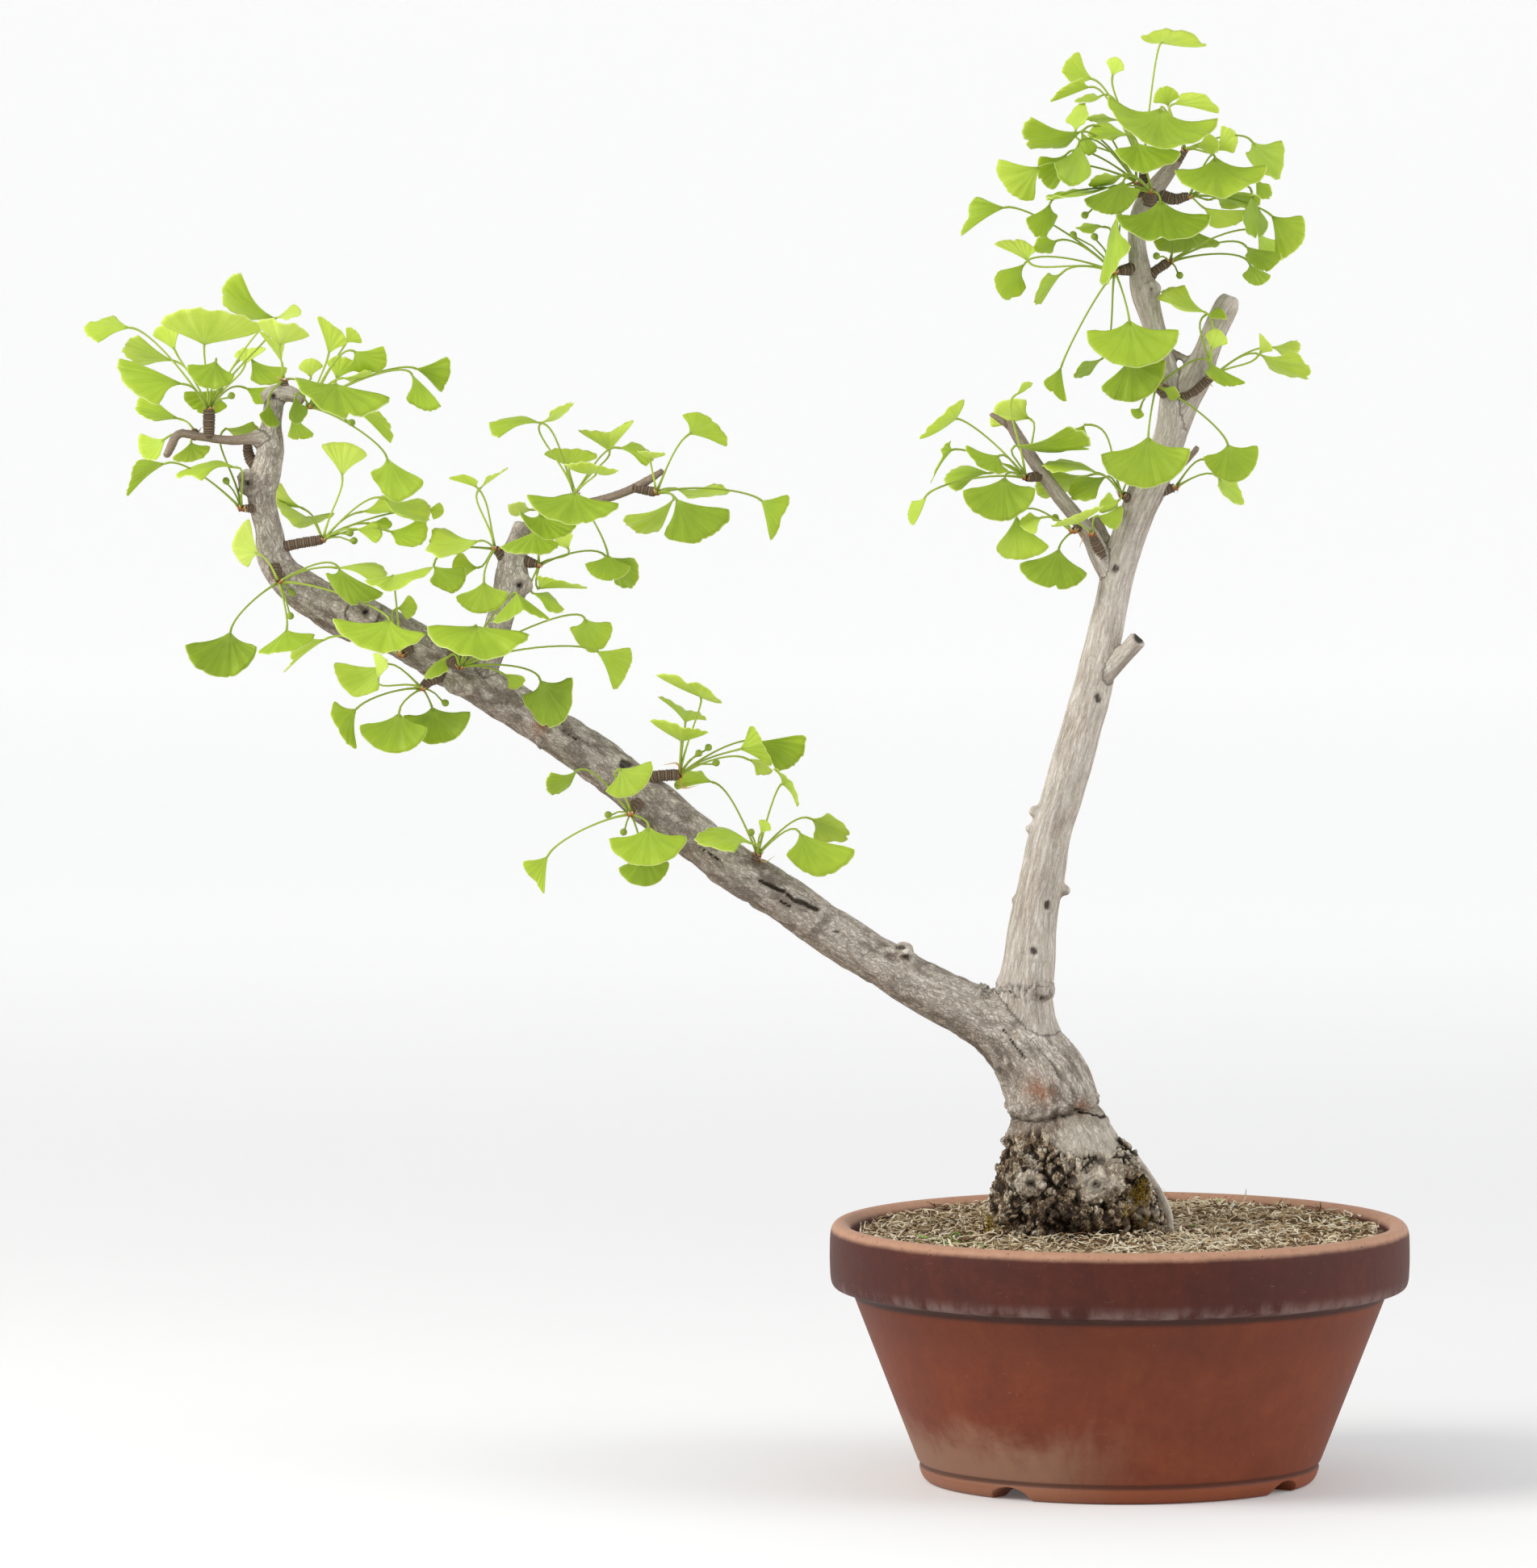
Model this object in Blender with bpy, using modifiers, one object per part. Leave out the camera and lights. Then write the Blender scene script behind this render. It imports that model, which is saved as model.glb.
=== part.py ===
"""Ginkgo bonsai with two trunks in a round terracotta bowl.

Metres, +Z up, front of the tree is -Y, origin in the middle of the bowl's foot.
"""
import math
import random

import bmesh
import bpy
import numpy as np
from mathutils import Vector

MM = 0.001
OBJECT_NAME = "ginkgo_bonsai"

# Bowl, millimetres
FOOT_RADIUS = 104.0
RIM_RADIUS = 150.0
RIM_INNER_RADIUS = 139.5
POT_HEIGHT = 134.5
FLOOR_THICKNESS = 13.0
POT_SIDES = 36
INNER_FLOOR_RADIUS = 94.0
INNER_WALL_TOP = 130.5
NOTCH_ANGLES = (-35.0, 55.0, 145.0, 235.0)
NOTCH_WIDTH = 24.0
NOTCH_HEIGHT = 7.0
NOTCH_INNER_END = 45.0
DRAIN_HOLE_RADIUS = 7.0
DRAIN_HOLE_OFFSET = 55.0

# Soil and the hole the stem foot stands in
SOIL_GAP = 0.3
STEM_CENTRE = (-21.0, 0.0)
STEM_FOOT_RADII = (49.0, 41.0)
STEM_FOOT_BOTTOM = 84.0
STEM_FOOT_TOP = 127.0
STEM_FOOT_SIDES = 18
WOOD_DETAIL = 0.72
SPRAY_DETAIL = 0.8
WELD = 0.005
CAP_MERGE = 0.001

# Point the sight lines run from, so that depth keeps the outline seen from the front
EYE = (-182.0, -6000.0, 804.0)

# Leaves: lengths in millimetres, shares of the blade or of the stalk
BLADE_THICKNESS = 0.7
STALK_RADIUS = 0.75
HUB_RADIUS = 2.4
STALK_ROOT_OFFSET = 1.6
STALK_ROOT_SHARE = 0.75
FULL_FAN_RATIO = 0.56
FAN_WIDTH_RATIO = 1.35
CORNER_LEAN = 0.45
STALK_RISE = 0.12
STALK_ENTRY = 0.28
FOLD_CLEARANCE = 0.45
CLEFT_RANGE = (0.8, 0.93)
WAVE_RATIO = 0.03
MARGIN_POINTS_LARGE = 7
MARGIN_POINTS_SMALL = 5
SMALL_LEAF_WIDTH = 17.0
LARGE_LEAF_WIDTH = 30.0
SHORT_STALK = 14.0
LONG_STALK = 38.0

# Wood: name, sides, then x, y, z, radius along the middle of each limb
LIMBS = (
    ("left_trunk", 10, (
        (-31, 0, 118, 37), (-30, 0, 136, 36), (-29.5, 0, 150, 34.5), (-28, 0, 164, 32.5),
        (-31, 0, 178, 28.5), (-33.5, 0, 190, 24.5), (-36.5, 0, 203, 24.3), (-45, 0, 219, 22),
        (-58, 0, 233, 18.5), (-75, 0, 243, 14.6), (-100, 0, 255.5, 13.2), (-125, 1, 270, 12.6),
        (-150, 2, 285.5, 12.4), (-175, 3, 303, 12.2), (-200, 4, 318, 12.1), (-225, 4, 338, 12.2),
        (-247, 4, 355, 12.6), (-272, 4, 375, 12), (-300, 4, 394, 11.4), (-330, 4, 413, 11.4),
        (-350, 3, 425, 11.4), (-372, 3, 438, 11.6), (-396, 2, 448, 12.6), (-416, 2, 458, 10.8),
        (-431, 1, 469, 9.5), (-438, 1, 481, 8.6), (-440, 0, 495, 7.4), (-444, 0, 510, 7.6),
        (-441.5, 0, 522, 8), (-439, 0, 534, 7.2), (-438.5, 0, 548, 5.6), (-437, 0, 559, 5.4))),
    ("left_head", 6, ((-443, 0, 561, 3.5), (-437, 0, 563.5, 5), (-429, 0, 564, 4.4), (-421.5, -1, 560, 3))),
    ("right_trunk", 10, (
        (-50, 0, 232, 17), (-49.5, 0, 248, 15.8), (-49, 0, 258, 14.8), (-47, 0, 272, 13.8),
        (-44, 0, 295, 12.3), (-39, 0, 320, 11.7), (-36, 0, 337, 11.2), (-31, 0, 352, 10.8),
        (-26, 0, 370, 10.9), (-20.5, 0, 390, 10.6), (-14.5, 0, 412, 10.2), (-8, 0, 440, 9.3),
        (-3.5, 0, 462, 8.8), (1.5, 0, 482, 8.8), (9, 0, 504, 9), (16, 0, 520, 9.4),
        (23, 0, 536, 8.4), (27, 0, 551, 8.6), (25, 0, 570, 5.8), (20, 0, 588, 5.5),
        (15, 0, 604, 6.4), (11.5, 0, 618, 7.4), (9.5, 0, 628, 6), (8, 0, 640, 4.8),
        (8, 0, 652, 4.4), (13, 0, 664, 5), (22, 0, 676, 4.4), (30, 0, 686, 2.6))),
    ("forked_stub", 8, (
        (27, 0, 544, 7.5), (33, 0, 560, 7.6), (38, 0, 572, 8.6), (43, 0, 583, 7),
        (48, 0, 596, 6.4), (54.5, 0, 610, 6.3), (56.5, 0, 614.5, 4))),
    ("right_root", 6, ((-2, -4, 176, 6), (9, -6, 167, 5), (19, -8, 152, 4), (22.5, -8.5, 139, 3.8), (21.5, -9, 120, 3.6))),
    ("left_root", 6, ((-52, -6, 168, 9), (-60, -8, 150, 6.5), (-62, -8, 134, 6), (-61, -8, 120, 6))),
    ("side_branch_right", 6, (
        (-3, 0, 466, 6), (-11, -2, 480, 5.5), (-15, -3, 489, 5), (-22, -4, 499, 4.3),
        (-31, -5, 510, 4), (-40, -6, 522, 3.8), (-47, -6, 532, 3.6), (-54, -7, 543, 3.2), (-58, -7, 550, 2.8))),
    ("side_branch_left", 8, (
        (-333, 2, 414, 8), (-325, 0, 432, 8), (-320, -1, 450, 7.4), (-315, -2, 465, 8.8),
        (-314, -2, 478, 7.6), (-311, -2, 490, 5), (-309, -2, 498, 4.2))),
    ("left_long_twig", 6, ((-314, -2, 478, 4), (-304, 0, 494, 2.8), (-290, 2, 503, 2.5),
                           (-262, 1, 511, 2.4), (-248, 0, 517, 2.5), (-236, 0, 524.5, 1.8))),
    ("left_end_twig", 6, ((-438, -2, 541, 4.2), (-448, -4, 541, 3.2), (-460, -4, 540, 2.5), (-475, -4, 542, 2.3),
                          (-486, -4, 543.5, 2.4), (-490, -5, 537, 2.6), (-493, -5, 531, 2))),
    ("cut_branch", 8, ((-14, -2, 412, 5), (-5, -6, 422, 5), (3, -9, 431, 4.8), (9, -11, 438, 4.9))),
    ("low_stub", 6, ((-5, 3, 478, 4.5), (-10, 7, 490, 4), (-14, 8, 500, 3.6))),
    ("broken_twig", 6, ((24, 0, 522, 2.6), (33, -3, 529, 2), (40, -4, 537, 1.8))),
    ("cross_twig", 6, ((22, 0, 587, 2.4), (29, 0, 584, 2), (40, 0, 578, 2))),
    ("fork_tip", 6, ((-56, -7, 546, 2), (-63, -7, 551, 1.8), (-68, -7, 554, 1.3))),
)

# Short spurs that carry the leaf bunches: first point lies inside the wood, last is the bud tip
SPURS = (
    ((-470.5, -4, 541, 2.6), (-470.5, -4, 548, 3), (-470.5, -4, 553.5, 3.1)),
    ((-445, 1, 524, 3.4), (-450, 5, 531, 2.8), (-451, 6, 536, 2.4)),
    ((-443, -2, 505, 3), (-451, -6, 505, 2)),
    ((-432, 0, 563, 3), (-432, 0, 568.5, 2.4)),
    ((-434, 0, 484, 3), (-428, -2, 486, 2.6), (-414.6, -4, 488.4, 2.5)),
    ((-437, -2, 478, 4), (-436, -9, 472, 2.8), (-435, -11, 469.5, 2.2)),
    ((-368, -4, 434, 5), (-370, -11, 431, 2.6)),
    ((-350, -2, 422, 6), (-357, -8, 416, 3), (-359.3, -10, 414, 2.4)),
    ((-345, -2, 428, 5), (-344, -10, 426, 3), (-342.5, -13, 424.8, 2.2)),
    ((-317, -3, 478, 4), (-321.3, -5, 482.5, 2.4)),
    ((-310, -3, 478, 4), (-303, -6, 476.6, 2.2)),
    ((-283, 1.5, 505, 2.2), (-282, 0.5, 509.5, 2)),
    ((-252, 0, 515.5, 2.2), (-242.5, -2.5, 513.6, 2.4)),
    ((-247, 0, 355, 5), (-251, -9, 351, 3), (-252.5, -11.3, 349.4, 2.2)),
    ((-247, 0, 363, 5), (-240, -1, 366, 3), (-230.8, -2, 366.8, 2.9)),
    ((-191, 0, 315, 5), (-188.3, -2, 323.4, 2.4)),
    ((-41, -6, 522, 3), (-47.5, -10.5, 521.2, 2.2)),
    ((-46, -5, 530, 2.8), (-46.5, -0.3, 531.5, 2)),
    ((-478, -4, 542, 2.2), (-478, 0.8, 543.6, 2)),
    ((-20, -4, 496, 3), (-23.2, -7.4, 494.4, 2)),
    ((-10, -3, 479, 4), (-14.4, -8.3, 489.8, 2.1)),
    ((8, 0, 507, 4), (2.4, -5.6, 511, 2.2)),
    ((18, 0, 514, 5), (25, -1, 515, 2.6)),
    ((24, -2, 564, 4), (19.4, -9, 567.4, 2.6)),
    ((31, -5, 562, 3), (38, -7, 566, 2.5), (44, -9, 571, 2.3)),
    ((9, 0, 629, 4), (-1, -5, 627.5, 2.3)),
    ((12, 0, 622, 5), (17, 0, 627, 2.6), (22.5, 0, 630.8, 2.5)),
    ((14, -2, 664, 4.5), (15, -6.6, 667, 2.6)),
    ((16, 0, 668, 3.4), (26, -2, 664.4, 3), (32, -3, 665.4, 2.4)),
    ((12, 0, 664, 4), (8.8, -2, 670.6, 2.2)),
    ((28, 0, 683, 2.6), (31.2, -1.4, 687.6, 2)),
    ((13, 1, 664, 4), (11, 4.6, 676.6, 2)),
)

# Knots, calluses and healed cuts: x, y, z, radius along x, y, z
KNOTS = (
    (-13, -31, 157, 13, 6, 9), (-47, -30, 158, 10, 7, 9), (-34, -33, 143, 10, 7, 10),
    (-20, -33, 140, 10, 7, 8), (-53, -24, 143, 10, 8, 10), (-4, -27, 140, 9, 8, 9), (-2, -22, 166, 10, 8, 8),
    (-54, -7, 257, 8, 8, 4.5), (-43, -9, 255, 8, 7, 5), (-53.5, -2, 302, 3.2, 3, 3.2), (-28.5, -2, 307, 3, 3, 3),
    (-44, -3, 348, 3.6, 3, 3), (-47.5, -2, 339, 2.2, 2.2, 2.2), (-451, -3, 518, 4.4, 5, 6.5),
    (-112, -9, 276, 5, 5, 5), (-340, -6, 414, 10, 8, 6), (-388, -7, 451, 9, 6, 5.5), (-310.5, -9, 466, 6, 3.5, 6.5),
    (-300, -2, 384, 3, 3, 5), (15, -4, 618, 5, 5, 5), (-9, -5, 421, 7, 6, 6), (-445, -1, 541, 5, 5.5, 5),
    (4, -14, 146, 13, 12, 17), (12, -9, 138, 11, 11, 13),
)

# Leaf bunches. Each has its bud tip (x, y, z) and its leaves as seen from the front:
# stalk end x, z, left corner x, z, middle of the margin x, z, right corner x, z, and the depth y
SPRAYS = (
    ("upper_left_a", (-470.5, -4, 556.2), (
        (-473, 589, -496, 603, -471, 607, -443, 598, -14), (-437, 603, -455, 604, -463, 614, -455, 626, 4),
        (-436, 603, -431, 602, -423, 606, -428, 609, 2), (-488, 586, -500, 594, -494, 599, -485, 599, 8),
        (-511, 598, -528, 590, -534, 598, -520, 604, 6), (-489, 581, -505, 577, -514, 586, -508, 592, 16),
        (-484, 569, -497, 560, -514, 571, -516, 583, -14), (-467, 581, -482, 579, -469, 567, -457, 573, -20),
        (-449, 582, -449, 570, -434, 571, -431, 577, 14), (-452, 579, -458, 584, -450, 587, -441, 587, 8),
        (-466, 566, -484, 565, -478, 556, -461, 557, 20), (-452, 567, -447, 559, -437, 561, -431, 569, 26))),
    ("twig_back", (-478, 3.4, 544.4), (
        (-493, 541, -506, 543, -505, 532, -497, 530, 12), (-480, 539, -490, 531, -481, 529, -470, 537, 9),
        (-486, 551, -500, 548, -508, 556, -503, 563, 14))),
    ("upper_left_b", (-453.7, -7, 505), (
        (-493, 528, -507, 530, -510, 521, -513, 511, -16), (-457, 526, -475, 522, -487, 523, -470, 530, -14),
        (-462, 546, -456, 541, -446, 543, -448, 550, 14))),
    ("left_head", (-418.6, -2, 557.6), (
        (-405, 569, -427, 572, -400, 553, -377, 563, -18), (-393, 554, -378, 537, -377, 546, -384, 553, -4),
        (-364, 577, -348, 582, -349, 570, -352, 564, -6), (-366, 574, -368, 562, -358, 556, -350, 559, -14),
        (-405, 571, -410, 580, -402, 583, -393, 577, 2), (-402, 572, -397, 571, -387, 573, -390, 577, -4),
        (-379, 531, -388, 523, -373, 509, -360, 519, -12), (-409, 584, -415, 604, -406, 598, -399, 590, -6),
        (-400, 590, -400, 598, -396, 597, -392, 590, 10), (-396, 586, -400, 577, -380, 579, -381, 588, -8),
        (-426, 563, -430, 553, -425, 549, -420, 556, -12), (-428, 553, -430, 542, -424, 541, -416, 543, -6))),
    ("left_head_top", (-432, 0, 571.2), (
        (-434, 589, -447, 600, -432, 600, -419, 593, -8), (-433, 580, -445, 597, -438, 592, -431, 590, 0),
        (-440, 559, -445, 553, -437, 547, -434, 549, -12), (-418, 572, -425, 577, -419, 582, -412, 578, 8))),
    ("left_ringed_spur", (-412, -4, 488.8), (
        (-402, 521, -413, 537, -404, 538, -389, 532, 0), (-395, 494, -386, 487, -382, 491, -386, 498, -8),
        (-388, 497, -382, 493, -377, 496, -380, 500, 4), (-378, 493, -374, 485, -361, 487, -360, 500, -4),
        (-392, 503, -385, 502, -375, 505, -381, 511, 6), (-381, 510, -373, 501, -358, 500, -362, 511, -2),
        (-358, 504, -355, 499, -350, 503, -352, 508, 8), (-423, 505, -436, 507, -438, 512, -434, 517, 22),
        (-420, 500, -437, 508, -424, 494, -406, 501, 14))),
    ("left_bend", (-434.3, -13.2, 467.6), (
        (-445, 481, -451, 474, -458, 487, -450, 499, -16), (-460, 441, -484, 434, -463, 418, -446, 433, -18),
        (-431, 442, -446, 431, -434, 431, -416, 440, -30), (-404, 474, -411, 471, -394, 456, -381, 461, -24),
        (-405, 474, -388, 466, -380, 470, -385, 475, -10), (-378, 447, -408, 447, -381, 431, -359, 440, -28))),
    ("left_under_a", (-371.5, -13.6, 430), (
        (-376, 470, -392, 470, -376, 462, -355, 477, -22), (-374, 453, -369, 447, -364, 453, -368, 460, -12),
        (-411, 437, -432, 419, -428, 426, -424, 437, -14))),
    ("left_under_b", (-360.6, -12, 412.6), (
        (-381, 423, -406, 425, -396, 408, -384, 411, -16), (-384, 416, -387, 429, -382, 428, -379, 423, -22),
        (-395, 401, -407, 405, -404, 391, -395, 380, -14), (-373, 399, -394, 392, -373, 379, -358, 391, -20),
        (-356, 402, -371, 397, -350, 384, -336, 399, -8))),
    ("left_under_c", (-341, -15.4, 423.8), (
        (-333, 444, -359, 443, -333, 427, -305, 439, -26), (-346, 429, -349, 422, -358, 417, -360, 420, -22),
        (-300, 416, -309, 407, -296, 392, -284, 417, -18), (-271, 431, -253, 433, -256, 420, -262, 411, -12),
        (-319, 419, -316, 412, -310, 413, -308, 418, -14), (-277, 448, -284, 443, -271, 431, -263, 446, -4),
        (-312, 461, -325, 445, -309, 453, -295, 446, -24))),
    ("left_branch_west", (-323, -6.6, 484.4), (
        (-331, 488, -345, 480, -358, 482, -350, 496, -10), (-355, 475, -357, 467, -344, 462, -339, 474, -6),
        (-332, 474, -340, 482, -345, 475, -341, 468, -4), (-332, 515, -347, 520, -339, 522, -332, 519, -4),
        (-331, 515, -316, 525, -321, 523, -327, 520, 2), (-329, 467, -344, 459, -328, 451, -316, 461, -26))),
    ("left_branch_east", (-300.4, -7.4, 476), (
        (-266, 480, -262, 466, -253, 464, -252, 478, -4), (-301, 463, -302, 470, -293, 468, -275, 463, -6),
        (-304, 461, -297, 451, -288, 453, -296, 460, -10), (-285, 483, -292, 486, -290, 492, -283, 491, -2),
        (-302, 493, -321, 485, -305, 482, -290, 486, -10))),
    ("long_twig_middle", (-282, 0, 512.2), (
        (-300, 549, -322, 543, -325, 549, -312, 553, -2), (-299, 549, -291, 550, -283, 559, -294, 555, 4),
        (-282, 513, -307, 510, -280, 497, -259, 507, -22), (-300, 502, -311, 502, -291, 490, -281, 496, -22),
        (-304, 504, -313, 500, -316, 506, -308, 508, 8),
        (-285, 526, -298, 533, -284, 535, -270, 531, 4), (-271, 523, -288, 525, -275, 528, -259, 522, -6),
        (-264, 534, -280, 544, -266, 543, -251, 549, 12), (-259, 536, -247, 527, -242, 531, -252, 539, 4),
        (-265, 481, -277, 476, -263, 468, -253, 475, -14))),
    ("long_twig_end", (-239.9, -3, 513), (
        (-223, 543, -226, 554, -211, 550, -203, 537, 2), (-230, 515, -222, 511, -203, 513, -210, 518, 8),
        (-186, 509, -172, 512, -176, 500, -181, 488, -2), (-231, 509, -240, 494, -253, 496, -256, 502, -8),
        (-230, 510, -236, 491, -216, 489, -201, 504, -16), (-243, 530, -250, 533, -243, 534, -235, 532, -8))),
    ("left_middle_under", (-253, -13.6, 347.6), (
        (-259, 370, -266, 358, -249, 359, -242, 374, -20), (-281, 369, -286, 358, -296, 359, -294, 366, -14),
        (-296, 325, -309, 322, -302, 312, -298, 305, -16), (-244, 340, -265, 334, -246, 320, -224, 336, -20),
        (-247, 327, -260, 318, -243, 310, -233, 321, -12))),
    ("left_middle_spur", (-228.1, -2.2, 367), (
        (-217, 407, -241, 418, -222, 415, -206, 403, -2), (-225, 394, -240, 407, -225, 400, -214, 395, 4),
        (-227, 384, -244, 393, -226, 391, -213, 387, -6), (-197, 380, -192, 392, -186, 383, -181, 371, -10),
        (-188, 384, -178, 368, -167, 375, -164, 387, 2), (-193, 375, -188, 367, -181, 368, -183, 373, 6))),
    ("left_low_bud", (-187.6, -2.6, 326), (
        (-211, 363, -217, 369, -228, 366, -230, 359, 10), (-190, 331, -200, 326, -219, 333, -208, 339, -26),
        (-166, 337, -173, 325, -155, 315, -137, 328, -8), (-160, 344, -158, 335, -141, 334, -150, 348, 6),
        (-186, 336, -187, 343, -182, 342, -181, 338, -4), (-175, 362, -180, 370, -170, 363, -167, 350, -4))),
    ("side_branch_tip", (-49.6, -12.4, 521.4), (
        (-85, 551, -103, 539, -95, 550, -80, 560, -2), (-87, 535, -88, 540, -93, 532, -99, 518, -6),
        (-68, 523, -83, 516, -90, 519, -82, 529, 2), (-100, 512, -108, 508, -110, 502, -107, 496, -10),
        (-63, 532, -81, 537, -72, 526, -58, 523, -20), (-55, 537, -36, 534, -17, 537, -27, 546, -20),
        (-60, 521, -82, 514, -63, 499, -44, 515, -22), (-55, 563, -51, 564, -46, 569, -51, 569, -14))),
    ("side_branch_back", (-46.6, 2.2, 532), ((-47, 551, -66, 547, -64, 558, -49, 561, 4),)),
    ("side_branch_middle", (-25, -9.2, 493.6), (
        (-54, 501, -66, 484, -50, 479, -38, 485, -14), (-41, 500, -44, 492, -52, 497, -47, 503, -18),
        (-32, 484, -53, 476, -35, 464, -17, 471, -12))),
    ("side_branch_foot", (-15.4, -11.4, 492.2), (
        (-22, 497, -36, 495, -25, 500, -8, 505, -14), (-12, 501, -9, 496, -3, 494, 0, 506, -14))),
    ("right_trunk_west", (0.2, -7.6, 512.2), (
        (-19, 548, -28, 545, -22, 541, -17, 541, -2), (-12, 523, -30, 524, -40, 527, -25, 531, -10),
        (-16, 522, -28, 511, -43, 514, -38, 525, 18), (-8, 521, -14, 511, -26, 511, -22, 523, 0),
        (-1, 509, -2, 505, -11, 503, -6, 513, -12))),
    ("right_trunk_east", (27.7, -1.2, 515.6), (
        (50, 521, 49, 515, 63, 507, 57, 520, -6), (44, 530, 47, 525, 56, 527, 53, 533, 4))),
    ("fork_front", (17.6, -11.6, 568.4), (
        (14, 542, -11, 532, 13, 516, 36, 535, -20), (5, 583, -11, 567, 2, 561, 23, 581, -22),
        (10, 557, 5, 556, 9, 551, 12, 553, -12), (46, 580, 43, 575, 55, 568, 64, 570, -18),
        (21, 567, 25, 561, 30, 563, 27, 568, -16), (55, 538, 42, 531, 60, 519, 71, 537, -14))),
    ("stub_spur", (46.1, -10, 572.6), (
        (43, 606, 29, 607, 20, 615, 32, 620, -13), (44, 605, 46, 603, 54, 603, 49, 609, -11),
        (46, 586, 43, 594, 49, 597, 55, 590, -15), (72, 584, 77, 575, 96, 572, 90, 586, -9),
        (71, 584, 71, 595, 75, 591, 78, 586, -4), (77, 588, 83, 585, 92, 587, 88, 592, 4))),
    ("leader_west", (-3.6, -6.2, 627), (
        (4, 602, -19, 597, 7, 578, 30, 597, -20), (-31, 578, -41, 571, -35, 565, -29, 560, -8),
        (-10, 582, -16, 575, -24, 573, -20, 581, 0), (-2, 656, -9, 645, -8, 621, 2, 640, -26),
        (-33, 643, -36, 637, -45, 639, -40, 646, -4), (-48, 632, -44, 638, -55, 643, -66, 641, 2),
        (-50, 631, -65, 627, -59, 613, -50, 619, -10), (-31, 626, -38, 626, -44, 611, -40, 611, -6),
        (-60, 660, -75, 666, -78, 655, -83, 645, -4), (-9, 650, -15, 647, -23, 649, -15, 652, 4))),
    ("leader_east", (24.9, 0, 632.2), (
        (64, 640, 63, 634, 74, 627, 82, 636, -10), (66, 631, 62, 625, 70, 620, 77, 625, -2),
        (70, 647, 72, 637, 83, 634, 86, 643, 2), (32, 652, 16, 642, 35, 639, 51, 642, 2))),
    ("crown_front", (15.2, -9.2, 668.4), (
        (20, 664, -4, 656, 22, 643, 46, 657, -24), (1, 674, -20, 664, -6, 657, 10, 669, -24),
        (-4, 671, -28, 665, -38, 665, -25, 669, -14), (-37, 662, -49, 654, -42, 645, -32, 655, -14),
        (1, 677, -6, 671, -16, 672, -9, 678, -18), (8, 693, -4, 690, 12, 679, 31, 689, -18))),
    ("crown_east", (34.7, -3.6, 666), (
        (48, 686, 27, 681, 53, 667, 75, 682, -22), (44, 664, 52, 661, 70, 661, 68, 669, -4),
        (42, 660, 46, 651, 58, 651, 66, 659, -8), (67, 668, 61, 655, 70, 645, 75, 652, -14),
        (69, 675, 70, 666, 76, 665, 76, 672, 0), (77, 656, 93, 656, 92, 642, 80, 634, -8))),
    ("crown_west", (7.6, -2.6, 673.4), (
        (-21, 699, -31, 689, -49, 694, -47, 706, -14), (-42, 681, -45, 664, -58, 669, -64, 685, -8),
        (-28, 688, -33, 670, -41, 674, -42, 686, 6), (-22, 694, -35, 683, -27, 672, -16, 678, -20),
        (-21, 699, -22, 692, -17, 687, -12, 692, -2), (4, 697, -5, 694, -17, 697, -8, 703, -10))),
    ("crown_back", (11, 5.4, 679.4), (
        (-15, 726, -24, 723, -30, 730, -22, 740, 4), (-16, 722, -37, 713, -33, 719, -20, 726, -4),
        (-9, 718, -17, 714, -24, 715, -15, 719, 12), (-5, 727, -8, 735, -3, 737, 1, 731, 18),
        (-24, 699, -18, 703, -19, 713, -28, 704, 6), (-2, 705, -10, 703, -18, 706, -10, 708, 14),
        (20, 747, 14, 745, 11, 748, 17, 750, -2), (21, 746, 30, 742, 43, 744, 33, 749, 8))),
    ("crown_top", (32.6, -2, 690), (
        (20, 711, -8, 717, 18, 691, 51, 705, -16), (26, 713, 31, 719, 42, 718, 51, 708, 2),
        (24, 712, 16, 714, 21, 722, 30, 717, 8), (67, 694, 63, 687, 80, 675, 82, 694, -2),
        (49, 689, 51, 702, 57, 698, 58, 688, -6), (52, 694, 55, 701, 59, 697, 59, 692, 4),
        (38, 691, 46, 687, 50, 692, 44, 698, -12))),
)


def clear_scene():
    """Take away every object, mesh, curve and collection."""
    for obj in list(bpy.data.objects):
        bpy.data.objects.remove(obj, do_unlink=True)
    for store in (bpy.data.meshes, bpy.data.curves, bpy.data.materials, bpy.data.collections):
        for block in list(store):
            store.remove(block)


def make_collection(name):
    """Make a collection in the scene."""
    collection = bpy.data.collections.new(name)
    bpy.context.scene.collection.children.link(collection)
    return collection


def make_material(name, colour, roughness, metallic=0.0):
    """Principled material with one colour."""
    material = bpy.data.materials.new(name)
    material.use_nodes = True
    shader = material.node_tree.nodes["Principled BSDF"]
    shader.inputs["Base Color"].default_value = (*colour, 1.0)
    shader.inputs["Roughness"].default_value = roughness
    shader.inputs["Metallic"].default_value = metallic
    material.diffuse_color = (*colour, 1.0)
    return material


def mesh_object(name, vertices, faces, collection):
    """Object from vertices in millimetres and faces."""
    mesh = bpy.data.meshes.new(name)
    mesh.from_pydata([tuple(c * MM for c in v) for v in vertices], [], faces)
    mesh.update()
    obj = bpy.data.objects.new(name, mesh)
    collection.objects.link(obj)
    return obj


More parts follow.
